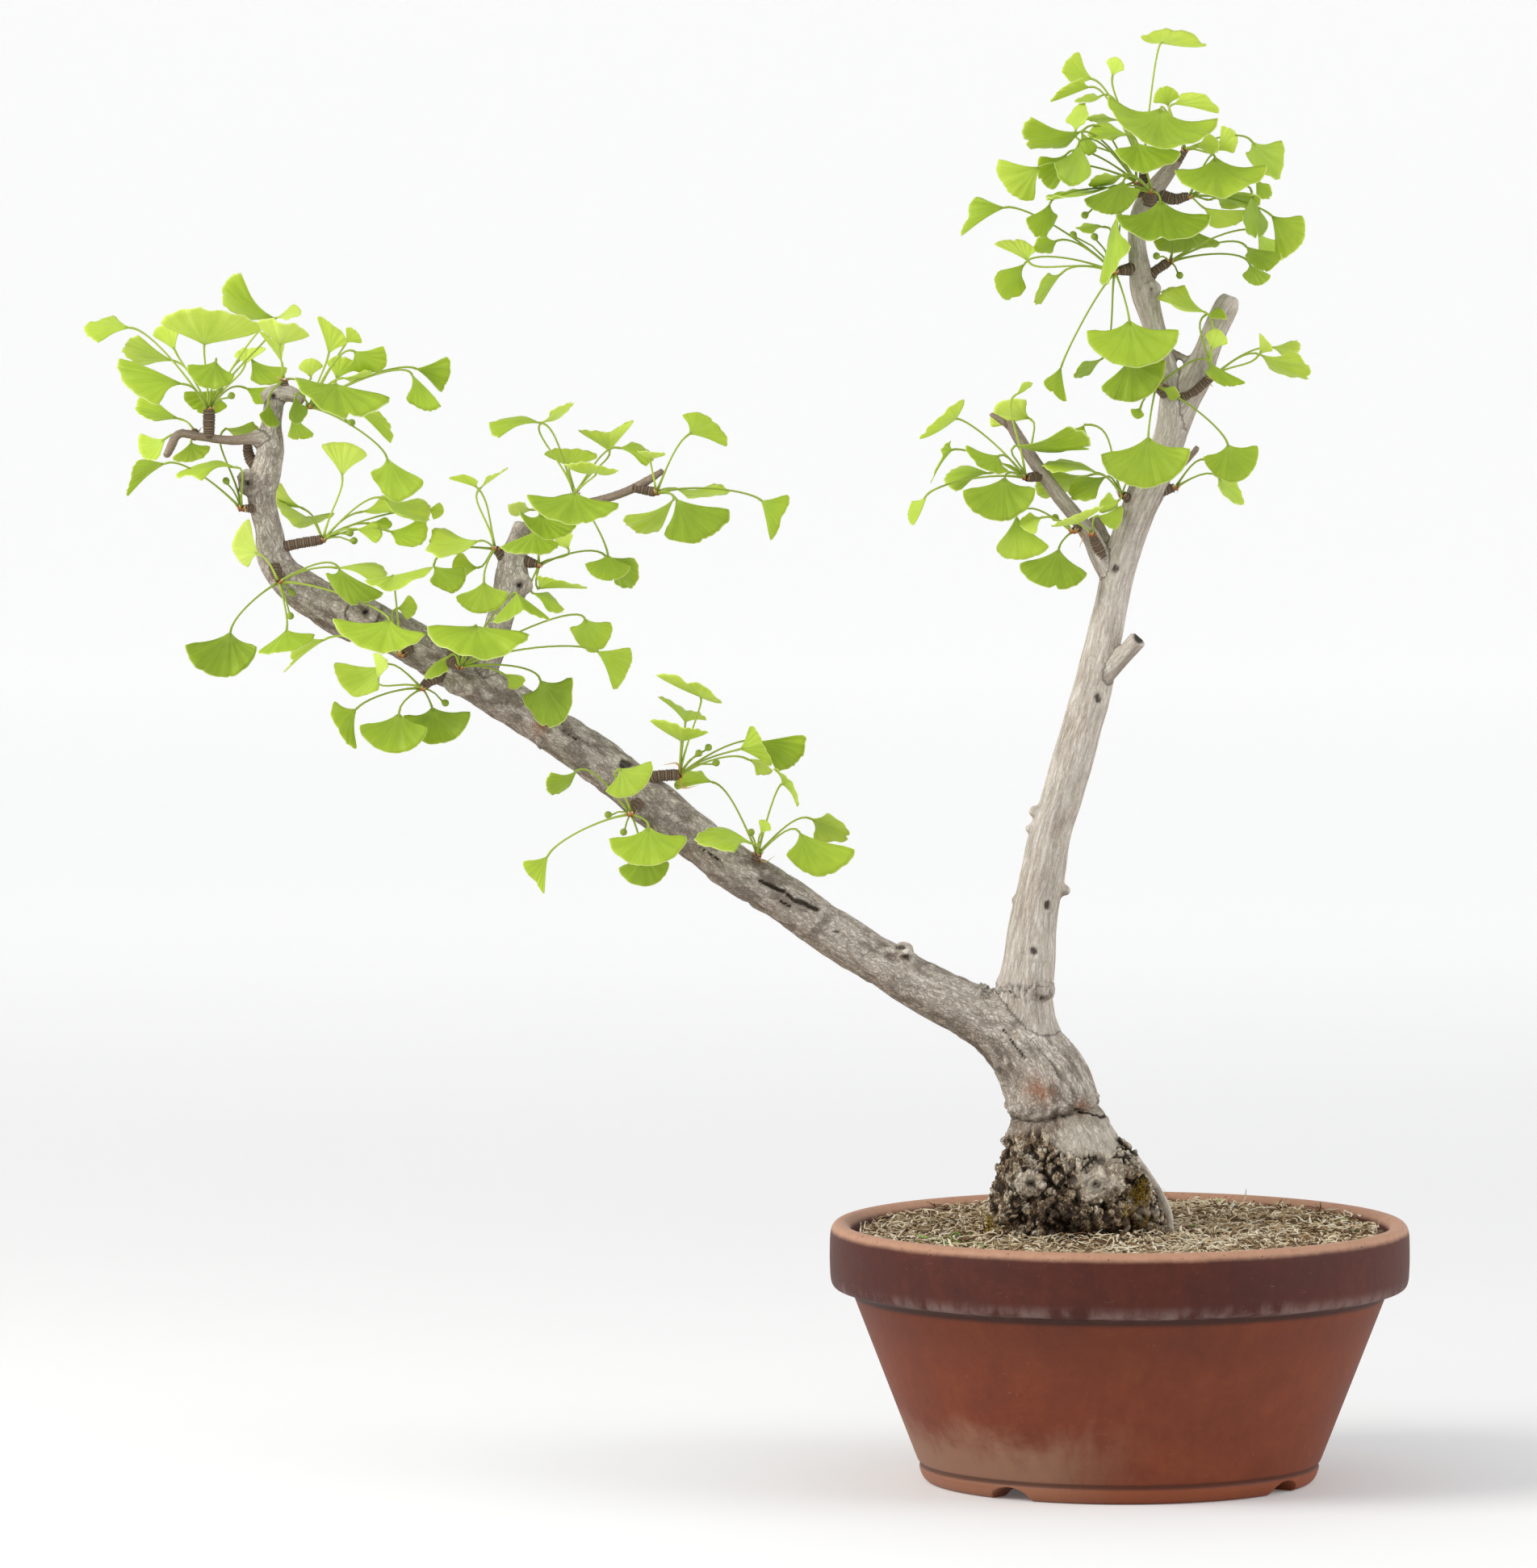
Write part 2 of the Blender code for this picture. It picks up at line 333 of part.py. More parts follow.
def evaluated_mesh(obj, merge=0.0):
    """Put the finished shape of an object, modifiers and placing applied, into a plain mesh."""
    graph = bpy.context.evaluated_depsgraph_get()
    mesh = bpy.data.meshes.new_from_object(obj.evaluated_get(graph), depsgraph=graph)
    mesh.transform(obj.matrix_world)
    shape = bmesh.new()
    shape.from_mesh(mesh)
    if merge:
        bmesh.ops.remove_doubles(shape, verts=shape.verts, dist=merge)
    bmesh.ops.recalc_face_normals(shape, faces=shape.faces)
    shape.to_mesh(mesh)
    shape.free()
    return mesh


def solidify_object(obj, name, collection, material, merge=0.0):
    """Swap an object for a plain mesh object of the same shape."""
    mesh = evaluated_mesh(obj, merge)
    mesh.name = name
    mesh.materials.clear()
    mesh.materials.append(material)
    bpy.data.objects.remove(obj, do_unlink=True)
    plain = bpy.data.objects.new(name, mesh)
    collection.objects.link(plain)
    return plain


def limb_object(name, points, sides, collection):
    """Round limb along points (x, y, z, radius): a bevelled curve with filled ends."""
    curve = bpy.data.curves.new(name, "CURVE")
    curve.dimensions = "3D"
    curve.bevel_depth = MM
    curve.bevel_resolution = (sides - 4) // 2
    curve.render_resolution_u = 0
    curve.use_fill_caps = True
    spline = curve.splines.new("POLY")
    spline.points.add(len(points) - 1)
    for target, (x, y, z, radius) in zip(spline.points, points):
        target.co = (x * MM, y * MM, z * MM, 1.0)
        target.radius = radius
    obj = bpy.data.objects.new(name, curve)
    collection.objects.link(obj)
    return obj


def join_by_union(base, parts, solver="EXACT"):
    """One Boolean union of a body with a collection of overlapping parts; the parts are then removed."""
    group = make_collection(base.name + "_parts")
    for part in parts:
        for owner in list(part.users_collection):
            owner.objects.unlink(part)
        group.objects.link(part)
    modifier = base.modifiers.new("join", "BOOLEAN")
    modifier.operation = "UNION"
    modifier.operand_type = "COLLECTION"
    modifier.collection = group
    modifier.solver = solver
    if solver == "EXACT":
        modifier.use_self = True
    mesh = evaluated_mesh(base)
    base.modifiers.clear()
    base.data = mesh
    for part in list(group.objects):
        bpy.data.objects.remove(part, do_unlink=True)
    bpy.data.collections.remove(group)


def tidy_mesh(obj, weld=WELD):
    """Weld close points, drop loose scraps and filled hollows, face outward, triangles only."""
    shape = bmesh.new()
    shape.from_mesh(obj.data)
    bmesh.ops.remove_doubles(shape, verts=shape.verts, dist=weld * MM)
    bmesh.ops.dissolve_degenerate(shape, edges=shape.edges, dist=weld * MM)
    keep_largest_shell(shape)
    bmesh.ops.triangulate(shape, faces=shape.faces)
    bmesh.ops.recalc_face_normals(shape, faces=shape.faces)
    shape.to_mesh(obj.data)
    shape.free()


def thin_mesh(obj, ratio):
    """Collapse the shortest, flattest edges that the joining left."""
    thin = obj.modifiers.new("thin", "DECIMATE")
    thin.ratio = ratio
    mesh = evaluated_mesh(obj)
    obj.modifiers.clear()
    obj.data = mesh


def keep_largest_shell(shape):
    """Keep the shell with the most faces."""
    unseen = set(shape.faces)
    shells = []
    while unseen:
        seed = unseen.pop()
        shell = {seed}
        queue = [seed]
        while queue:
            face = queue.pop()
            for edge in face.edges:
                for other in edge.link_faces:
                    if other in unseen:
                        unseen.discard(other)
                        shell.add(other)
                        queue.append(other)
        shells.append(shell)
    largest = max(shells, key=len)
    scraps = [face for shell in shells if shell is not largest for face in shell]
    bmesh.ops.delete(shape, geom=scraps, context="FACES")
    bare = [edge for edge in shape.edges if not edge.link_faces]
    bmesh.ops.delete(shape, geom=bare, context="EDGES")


def turned_object(name, profile, sides, collection):
    """Body of revolution: a closed profile (radius, height) at +X, top to bottom, turned by a Screw."""
    vertices = [(radius, 0.0, height) for radius, height in profile]
    mesh = bpy.data.meshes.new(name)
    edges = [(i, i + 1) for i in range(len(profile) - 1)]
    mesh.from_pydata([tuple(c * MM for c in v) for v in vertices], edges, [])
    obj = bpy.data.objects.new(name, mesh)
    collection.objects.link(obj)
    screw = obj.modifiers.new("turn", "SCREW")
    screw.steps = sides
    screw.render_steps = sides
    screw.use_merge_vertices = True
    screw.merge_threshold = 0.0001
    screw.use_normal_calculate = True
    return obj


def cut(obj, cutters):
    """Cut each cutter out of a body."""
    for cutter in cutters:
        modifier = obj.modifiers.new(cutter.name, "BOOLEAN")
        modifier.operation = "DIFFERENCE"
        modifier.solver = "EXACT"
        modifier.object = cutter


def cutter_cylinder(name, radius, depth, location, rotation, collection, sides=16):
    """Cylinder that takes material away."""
    bpy.ops.mesh.primitive_cylinder_add(
        vertices=sides, radius=radius * MM, depth=depth * MM, location=[c * MM for c in location], rotation=rotation)
    cutter = bpy.context.object
    cutter.name = name
    for owner in list(cutter.users_collection):
        owner.objects.unlink(cutter)
    collection.objects.link(cutter)
    cutter.hide_render = True
    cutter.display_type = "WIRE"
    return cutter


def pot_wall_inner_radius(height):
    """Inside radius of the bowl at a height."""
    share = (height - FLOOR_THICKNESS) / (INNER_WALL_TOP - FLOOR_THICKNESS)
    return INNER_FLOOR_RADIUS + (RIM_INNER_RADIUS - INNER_FLOOR_RADIUS) * share


def build_pot(collection, cutters, material):
    """Turned bowl with a rolled rim, a foot band, and drain notches that lead to four holes."""
    profile = (
        (0.0, FLOOR_THICKNESS), (INNER_FLOOR_RADIUS, FLOOR_THICKNESS), (RIM_INNER_RADIUS, INNER_WALL_TOP),
        (RIM_INNER_RADIUS + 5.0, POT_HEIGHT), (RIM_RADIUS - 2.0, POT_HEIGHT - 1.2), (RIM_RADIUS, POT_HEIGHT - 5.0),
        (RIM_RADIUS - 0.5, 100.0), (RIM_RADIUS - 3.5, 97.0), (137.0, 96.0),
        (105.0, 9.5), (FOOT_RADIUS, 7.5), (FOOT_RADIUS - 2.0, 0.0), (0.0, 0.0))
    pot = turned_object("pot", profile, POT_SIDES, collection)
    tools = []
    for number, degrees in enumerate(NOTCH_ANGLES, 1):
        angle = math.radians(degrees)
        direction = Vector((math.sin(angle), -math.cos(angle), 0.0))
        inner = NOTCH_INNER_END
        length = FOOT_RADIUS + 10.0 - inner
        centre = direction * (inner + length / 2)
        channel = cutter_cylinder(
            f"notch_{number}", NOTCH_WIDTH / 2, length, centre, (math.pi / 2, 0.0, angle), cutters)
        channel.scale = (1.0, NOTCH_HEIGHT / (NOTCH_WIDTH / 2), 1.0)
        tools.append(channel)
        hole_centre = direction * DRAIN_HOLE_OFFSET
        tools.append(cutter_cylinder(
            f"drain_{number}", DRAIN_HOLE_RADIUS, 3 * FLOOR_THICKNESS, hole_centre, (0.0, 0.0, 0.0), cutters, 12))
    bpy.context.view_layer.update()
    cut(pot, tools)
    pot = solidify_object(pot, "pot", collection, material)
    tidy_mesh(pot)
    return pot


def stem_foot_object(name, grow, bottom, top, collection):
    """Upright elliptic plug: the buried foot of the stem, or grown by a gap, the hole it stands in."""
    rings = []
    for height in (bottom, top):
        for step in range(STEM_FOOT_SIDES):
            turn = 2 * math.pi * step / STEM_FOOT_SIDES
            rings.append((
                STEM_CENTRE[0] + (STEM_FOOT_RADII[0] + grow) * math.cos(turn),
                STEM_CENTRE[1] + (STEM_FOOT_RADII[1] + grow) * math.sin(turn), height))
    sides = STEM_FOOT_SIDES
    faces = [tuple(reversed(range(sides))), tuple(range(sides, 2 * sides))]
    faces += [(i, (i + 1) % sides, sides + (i + 1) % sides, sides + i) for i in range(sides)]
    return mesh_object(name, rings, faces, collection)


def build_soil(collection, cutters, material):
    """Growing mix that fills the bowl, mounded a little, with a plain hole for the stem foot."""
    gap = SOIL_GAP
    floor = FLOOR_THICKNESS + gap
    profile = (
        (0.0, 129.0), (108.0, 130.0), (pot_wall_inner_radius(126.0) - gap - 0.05, 126.0),
        (pot_wall_inner_radius(floor) - gap - 0.05, floor), (0.0, floor))
    soil = turned_object("soil", profile, POT_SIDES, collection)
    hole = stem_foot_object("stem_hole", gap, STEM_FOOT_BOTTOM - gap, POT_HEIGHT + 20.0, cutters)
    hole.hide_render = True
    hole.display_type = "WIRE"
    cut(soil, [hole])
    soil = solidify_object(soil, "soil", collection, material)
    tidy_mesh(soil)
    return soil


def knot_object(number, knot, collection):
    """Low callus or knob: a flattened ball."""
    x, y, z, radius_x, radius_y, radius_z = knot
    bpy.ops.mesh.primitive_ico_sphere_add(subdivisions=1, radius=MM, location=(x * MM, y * MM, z * MM))
    ball = bpy.context.object
    ball.name = f"knot_{number}"
    ball.scale = (radius_x, radius_y, radius_z)
    bpy.context.view_layer.update()
    return ball


def build_wood(collection, material):
    """Both trunks, branches, stubs, twigs, spurs and knots joined into the one living body."""
    pieces = []
    for name, sides, points in LIMBS:
        pieces.append(limb_object(name, points, sides, collection))
    for number, points in enumerate(SPURS, 1):
        pieces.append(limb_object(f"spur_{number}", points, 6, collection))
    for number, knot in enumerate(KNOTS, 1):
        pieces.append(knot_object(number, knot, collection))
    bpy.context.view_layer.update()
    plain = [solidify_object(piece, piece.name, collection, material, CAP_MERGE * MM) for piece in pieces]
    wood = stem_foot_object("tree_wood", 0.0, STEM_FOOT_BOTTOM, STEM_FOOT_TOP, collection)
    wood.data.materials.append(material)
    join_by_union(wood, plain)
    tidy_mesh(wood)
    thin_mesh(wood, WOOD_DETAIL)
    wood.data.name = "tree_wood"
    tidy_mesh(wood)
    return wood


def on_sight_line(x, depth, z):
    """Point at a depth that is seen at (x, z) of the tree's own plane from the front."""
    share = 1.0 + depth / -EYE[1]
    return np.array((EYE[0] + (x - EYE[0]) * share, depth, EYE[2] + (z - EYE[2]) * share))


def between(start, end, share):
    """Direction and length turned evenly from one vector to another."""
    first = np.linalg.norm(start)
    second = np.linalg.norm(end)
    cosine = np.clip(np.dot(start, end) / (first * second), -0.999, 0.9999)
    angle = math.acos(cosine)
    return (math.sin((1.0 - share) * angle) * start + math.sin(share * angle) * end) / math.sin(angle)


def leaf_corners(leaf):
    """Stalk end, left corner, middle and right corner of a blade in space.

    A blade seen foreshortened leans out of the picture by what its outline lacks of a full fan:
    toward the front for a leaf in front of the wood, away for one behind.
    """
    base_x, base_z, left_x, left_z, middle_x, middle_z, right_x, right_z, depth = leaf
    chord = math.hypot(right_x - left_x, right_z - left_z)
    reach = math.hypot(middle_x - base_x, middle_z - base_z)
    full = max(FULL_FAN_RATIO * chord, reach)
    lean = math.sqrt(full * full - reach * reach) * (1.0 if depth > 0 else -1.0)
    missing = max(0.0, (FAN_WIDTH_RATIO * full) ** 2 - chord * chord)
    turn = 0.5 * math.sqrt(missing) * (1.0 if (base_x + base_z) % 2 else -1.0)
    base = on_sight_line(base_x, depth, base_z)
    left = on_sight_line(left_x, depth + CORNER_LEAN * lean - turn, left_z)
    middle = on_sight_line(middle_x, depth + lean, middle_z)
    right = on_sight_line(right_x, depth + CORNER_LEAN * lean + turn, right_z)
    return base, left, middle, right


def stalk_path(hub, base, axis, segments):
    """Points of a stalk that rises from the bud and comes into the blade along its middle.

    The stalk of a blade folded back over it comes in from behind.
    """
    span = np.linalg.norm(base - hub)
    rise = hub + 0.35 * (base - hub) + np.array((0.0, 0.0, STALK_RISE * span))
    folded = min(1.0, max(0.0, -1.5 * np.dot(axis, base - hub) / span))
    behind = (hub - base) - np.dot(hub - base, axis) * axis
    behind /= np.linalg.norm(behind)
    enter = base + span * (-STALK_ENTRY * axis + FOLD_CLEARANCE * folded * behind)
    path = []
    for step in range(segments + 1):
        t = step / segments
        path.append((1 - t) ** 3 * hub + 3 * t * (1 - t) ** 2 * rise + 3 * t * t * (1 - t) * enter + t ** 3 * base)
    return path


def leaf_object(name, hub, leaf, rng, collection):
    """One leaf: a four-sided stalk that widens into a thin waved fan with a cleft in its margin."""
    base, left, middle, right = leaf_corners(leaf)
    axis = (middle - base) / np.linalg.norm(middle - base)
    width = np.linalg.norm(right - left)
    stations = MARGIN_POINTS_SMALL if width < LARGE_LEAF_WIDTH else MARGIN_POINTS_LARGE
    normal = np.cross(right - left, axis)
    normal /= np.linalg.norm(normal)
    side = np.cross(axis, normal)
    span = np.linalg.norm(base - hub)
    root = hub + STALK_ROOT_OFFSET * (base - hub) / span
    bent = np.dot(axis, base - hub) < 0.0
    if span > LONG_STALK or bent:
        segments = 3
    else:
        segments = 1 if span < SHORT_STALK else 2
    path = stalk_path(root, base, axis, segments)
    points = []
    stalk_rings = len(path) - 1
    for index in range(stalk_rings):
        ahead = path[index + 1] - path[index]
        ahead /= np.linalg.norm(ahead)
        across = side - np.dot(side, ahead) * ahead
        if np.linalg.norm(across) < 0.2:
            across = normal - np.dot(normal, ahead) * ahead
        across /= np.linalg.norm(across)
        up = np.cross(across, ahead)
        for direction in (-across - up, across - up, across + up, -across + up):
            points.append(path[index] + direction * STALK_RADIUS * STALK_ROOT_SHARE)
    half = BLADE_THICKNESS / 2
    rows = [[base - side * STALK_RADIUS, base + side * STALK_RADIUS]]
    if width > SMALL_LEAF_WIDTH:
        row = []
        for share in (-1.0, 0.0, 1.0):
            edge = left if share < 0 else right
            row.append(base + 0.5 * between(middle - base, edge - base, 0.8 * abs(share)))
        rows.append(row)
    cleft = rng.uniform(*CLEFT_RANGE)
    row = []
    for share in np.linspace(-1.0, 1.0, stations):
        edge = left if share < 0 else right
        reach = rng.uniform(0.97, 1.03)
        if abs(share) > 0.99:
            reach *= 0.97
        if abs(share) < 0.01:
            reach *= cleft
        wave = normal * width * WAVE_RATIO * rng.uniform(-1.0, 1.0)
        row.append(base + reach * between(middle - base, edge - base, abs(share)) + wave)
    rows.append(row)
    blade_start = len(points)
    starts = []
    counts = []
    for row in rows:
        starts.append(len(points))
        counts.append(len(row))
        for point in row:
            points.append(point - normal * half)
            points.append(point + normal * half)
    faces = [(3, 2, 1, 0)]
    for ring in range(stalk_rings - 1):
        near = 4 * ring
        far = near + 4
        faces += [(near + i, near + (i + 1) % 4, far + (i + 1) % 4, far + i) for i in range(4)]
    last = 4 * (stalk_rings - 1)
    loop = (blade_start, blade_start + 2, blade_start + 3, blade_start + 1)
    faces += [(last + i, last + (i + 1) % 4, loop[(i + 1) % 4], loop[i]) for i in range(4)]
    for level in range(len(rows) - 1):
        faces += strip_faces(starts[level], counts[level], starts[level + 1], counts[level + 1])
        for column_a, column_b in ((0, 0), (counts[level] - 1, counts[level + 1] - 1)):
            low_a = starts[level] + 2 * column_a
            low_b = starts[level + 1] + 2 * column_b
            faces.append((low_a, low_a + 1, low_b + 1, low_b))
    margin = starts[-1]
    for column in range(stations - 1):
        low = margin + 2 * column
        faces.append((low, low + 2, low + 3, low + 1))
    obj = mesh_object(name, points, faces, collection)
    shape = bmesh.new()
    shape.from_mesh(obj.data)
    bmesh.ops.triangulate(shape, faces=shape.faces)
    bmesh.ops.recalc_face_normals(shape, faces=shape.faces)
    shape.to_mesh(obj.data)
    shape.free()
    return obj


def strip_faces(start_a, count_a, start_b, count_b):
    """Triangles between two rows of a blade, alike on both faces."""
    faces = []
    i = 0
    j = 0
    while i < count_a - 1 or j < count_b - 1:
        ahead_a = (i + 1) / (count_a - 1)
        ahead_b = (j + 1) / (count_b - 1)
        if j < count_b - 1 and (i == count_a - 1 or ahead_b <= ahead_a + 1e-9):
            triangle = (start_a + 2 * i, start_b + 2 * j, start_b + 2 * (j + 1))
            j += 1
        else:
            triangle = (start_a + 2 * i, start_b + 2 * j, start_a + 2 * (i + 1))
            i += 1
        faces.append(triangle)
        faces.append(tuple(vertex + 1 for vertex in reversed(triangle)))
    return faces


def build_spray(name, tip, leaves, collection, material):
    """All the leaves that grow from one bud, joined in the bud."""
    rng = random.Random(name)
    hub = np.array(tip, dtype=float)
    bpy.ops.mesh.primitive_ico_sphere_add(subdivisions=1, radius=HUB_RADIUS * MM, location=[c * MM for c in tip])
    bud = bpy.context.object
    for owner in list(bud.users_collection):
        owner.objects.unlink(bud)
    collection.objects.link(bud)
    spray = solidify_object(bud, "spray_" + name, collection, material)
    blades = [leaf_object(f"{name}_{n}", hub, leaf, rng, collection) for n, leaf in enumerate(leaves, 1)]
    join_by_union(spray, blades, "MANIFOLD")
    tidy_mesh(spray)
    thin_mesh(spray, SPRAY_DETAIL)
    tidy_mesh(spray)
    spray.data.name = spray.name
    spray.data.materials.clear()
    spray.data.materials.append(material)
    return spray


def main():
    """Build the bonsai."""
    clear_scene()
    parts = make_collection(OBJECT_NAME)
    cutters = make_collection(OBJECT_NAME + "_cutters")
    cutters.hide_render = True
    terracotta = make_material("terracotta", (0.42, 0.15, 0.075), 0.78)
    growing_mix = make_material("growing_mix", (0.24, 0.17, 0.09), 0.95)
    bark = make_material("bark", (0.42, 0.36, 0.29), 0.85)
    leaf_green = make_material("leaf_green", (0.33, 0.52, 0.07), 0.5)
    build_pot(parts, cutters, terracotta)
    build_soil(parts, cutters, growing_mix)
    build_wood(parts, bark)
    for name, tip, leaves in SPRAYS:
        build_spray(name, tip, leaves, parts, leaf_green)


main()
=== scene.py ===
import math

import bmesh
import bpy
import numpy as np
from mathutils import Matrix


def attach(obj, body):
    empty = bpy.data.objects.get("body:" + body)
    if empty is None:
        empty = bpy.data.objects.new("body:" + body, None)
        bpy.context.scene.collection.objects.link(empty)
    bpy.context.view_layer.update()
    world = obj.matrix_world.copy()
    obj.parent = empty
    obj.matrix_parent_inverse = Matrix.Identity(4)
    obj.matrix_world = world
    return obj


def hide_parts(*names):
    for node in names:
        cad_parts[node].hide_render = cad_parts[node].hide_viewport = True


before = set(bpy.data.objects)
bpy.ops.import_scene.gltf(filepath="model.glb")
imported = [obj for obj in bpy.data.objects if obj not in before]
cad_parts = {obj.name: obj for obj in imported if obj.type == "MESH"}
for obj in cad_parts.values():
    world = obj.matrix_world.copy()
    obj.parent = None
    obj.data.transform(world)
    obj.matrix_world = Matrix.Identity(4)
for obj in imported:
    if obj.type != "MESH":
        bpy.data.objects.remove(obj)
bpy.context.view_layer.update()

MM = 0.001

# The camera stands six metres off, a little above the top of the tree, as for a portrait of a bonsai.
# It looks along +Y and about four degrees down, at the space between the crown and the bowl.
EYE = np.array((-182.0, -6000.0, 804.0))
AIM = np.array((-182.0, 0.0, 362.0))
camera = bpy.data.objects.new("camera", bpy.data.cameras.new("camera"))
bpy.context.scene.collection.objects.link(camera)
camera.data.sensor_width = 36.0
camera.data.sensor_fit = "AUTO"
camera.data.lens = 267.0
camera.location = EYE * MM
pitch = math.atan2(EYE[2] - AIM[2], AIM[1] - EYE[1])
camera.rotation_euler = (math.pi / 2 - pitch, 0.0, 0.0)
camera.data.clip_end = 50.0
bpy.context.scene.camera = camera
bpy.context.scene.view_settings.view_transform = "Standard"


# The bowl. Thrown red clay fired without glaze: a foot ring with four arched drain notches, a flaring wall
# and a thick straight rim band with a rolled lip, darkened by years of water and handling.
POT_COLUMNS = 288
NOTCH_ANGLES = (-35.0, 55.0, 145.0, 235.0)
POT_PROFILE = (
    (0.5, 13.0), (90.0, 13.0), (94.0, 14.5), (116.5, 71.0), (138.6, 127.0), (139.6, 131.5), (142.0, 133.9),
    (144.8, 134.6), (147.4, 134.0), (149.4, 131.6), (150.1, 127.5), (150.3, 116.0), (149.9, 105.5),
    (149.0, 102.2), (147.0, 100.6), (141.5, 99.8), (138.8, 98.6), (137.6, 95.8), (120.6, 52.0),
    (104.6, 11.0), (103.4, 9.6), (103.2, 8.4), (103.8, 7.2), (102.6, 3.0), (100.6, 0.6), (98.6, 0.0),
    (88.0, 0.0), (86.0, 1.6), (84.0, 3.2), (0.5, 3.4))
# Cutters: radius across, radius upwards or outwards, length, distance from the middle, tilt
NOTCH = (12.0, 7.0, 69.0, 79.5, math.pi / 2)
DRAIN_HOLE = (7.0, 7.0, 40.0, 55.0, 0.0)


class Shape:
    """Points, faces and surface values of one piece, gathered sheet by sheet and then made into a mesh."""

    def __init__(self):
        self.points = []
        self.faces = []
        self.values = {}
        self.count = 0

    def sheet(self, points, around=False, ends="open", **values):
        """Add a grid of points [rows, columns, 3]: quads join neighbours, and the last column joins the first
        when it goes around. Ends are left open, closed by a fan on a middle point, or zipped flat."""
        rows, columns = points.shape[:2]
        index = self.count + np.arange(rows * columns).reshape(rows, columns)
        self.points.append(points.reshape(-1, 3))
        self.count += rows * columns
        near = index if around else index[:, :-1]
        far = np.roll(index, -1, axis=1) if around else index[:, 1:]
        quads = np.stack((near[:-1], far[:-1], far[1:], near[1:]), axis=-1).reshape(-1, 4)
        self.faces.append(quads)
        for row, turn in ((0, 1), (rows - 1, -1)):
            if ends == "fan":
                self.points.append(points[row].mean(axis=0)[None])
                middle = np.full(columns, self.count)
                self.count += 1
                ring = np.stack((middle, np.roll(index[row], -1), index[row]), axis=-1)
                self.faces.append(ring[:, ::turn])
            if ends == "zip":
                half = columns // 2
                there = index[row, :half]
                back = index[row, half:][::-1]
                strip = np.stack((there[:-1], back[:-1], back[1:], there[1:]), axis=-1)
                self.faces.append(strip[:, ::turn])
        added = rows * columns + (2 if ends == "fan" else 0)
        for name, value in values.items():
            value = np.asarray(value, dtype=float)
            if value.ndim == 0 or value.shape == (3,):
                flat = np.broadcast_to(value, (added,) + value.shape).copy()
            else:
                flat = value.reshape((rows * columns,) + value.shape[2:])
                if ends == "fan":
                    flat = np.concatenate((flat, flat[:1], flat[-1:]))
            self.values.setdefault(name, []).append(flat)

    def strands(self, middle, across, up, half_width, half_thick, sides=3, **values):
        """Add many closed strands at once. Each has rows of points on an oval around its middle line
        [strands, rows, 3]; the ovals' half axes lie along the two given directions. A value is one a strand,
        or one for each of its rows."""
        turn = np.linspace(0.0, 2.0 * math.pi, sides, endpoint=False)
        wide = (half_width[..., None] * np.cos(turn))[..., None] * across[:, :, None]
        thick = (half_thick[..., None] * np.sin(turn))[..., None] * up[:, :, None]
        points = middle[:, :, None] + wide + thick
        count, rows = middle.shape[:2]
        index = self.count + np.arange(count * rows * sides).reshape(count, rows, sides)
        far = np.roll(index, -1, axis=2)
        quads = np.stack((index[:, :-1], far[:, :-1], far[:, 1:], index[:, 1:]), axis=-1).reshape(-1, 4)
        self.faces += [quads, index[:, 0, ::-1], index[:, -1]]
        self.points.append(points.reshape(-1, 3))
        self.count += count * rows * sides
        for name, value in values.items():
            value = np.asarray(value, dtype=float)
            value = value if value.ndim == 2 else np.broadcast_to(value, (count,))[:, None]
            value = np.broadcast_to(value, (count, rows))
            self.values.setdefault(name, []).append(np.repeat(value, sides))

    def piece(self, name, material, replaced, slot_name, outward=True):
        """Make the mesh object at the origin, facing outward, and tie it to the model."""
        mesh = bpy.data.meshes.new(name)
        faces = [face for block in self.faces for face in block.tolist()]
        mesh.from_pydata(np.concatenate(self.points) * MM, [], faces)
        for key, parts in self.values.items():
            store(mesh, key, np.concatenate(parts))
        if outward:
            turn_outward(mesh)
        mesh.polygons.foreach_set("use_smooth", np.full(len(mesh.polygons), True))
        mesh.materials.append(material)
        piece = bpy.data.objects.new(name, mesh)
        bpy.context.scene.collection.objects.link(piece)
        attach(piece, "root")
        if replaced:
            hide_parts(*replaced)
        return piece


def store(mesh, name, value):
    """Keep a number or a vector for each point of a mesh, where its material reads it."""
    kind, field = ("FLOAT_VECTOR", "vector") if value.ndim == 2 else ("FLOAT", "value")
    mesh.attributes.new(name, kind, "POINT").data.foreach_set(field, value.astype(np.float32).ravel())


def turn_outward(mesh):
    """Turn every face of a closed mesh outward."""
    shape = bmesh.new()
    shape.from_mesh(mesh)
    bmesh.ops.recalc_face_normals(shape, faces=shape.faces)
    shape.to_mesh(mesh)
    shape.free()


def hashed(cell, seed):
    """A random-looking value from -1 to 1 for each whole-numbered place of a lattice."""
    key = cell * np.array((73856093, 19349663, 83492791))
    mixed = (key[..., 0] ^ key[..., 1] ^ key[..., 2]) + seed * 7919
    mixed = (mixed ^ (mixed >> 13)) * 1274126177
    return ((mixed >> 7) & 0xFFFF) / 32767.5 - 1.0


def lattice_noise(points, size, seed):
    """Smooth noise from -1 to 1: random values on a cubic lattice of a size, blended by an S-curve."""
    place = points / size + seed * 13.7
    cell = np.floor(place).astype(np.int64)
    part = place - cell
    part = part * part * (3.0 - 2.0 * part)
    total = np.zeros(points.shape[:-1])
    for corner in range(8):
        step = np.array((corner & 1, corner >> 1 & 1, corner >> 2 & 1))
        weight = np.prod(np.where(step == 1, part, 1.0 - part), axis=-1)
        total += weight * hashed(cell + step, seed)
    return total


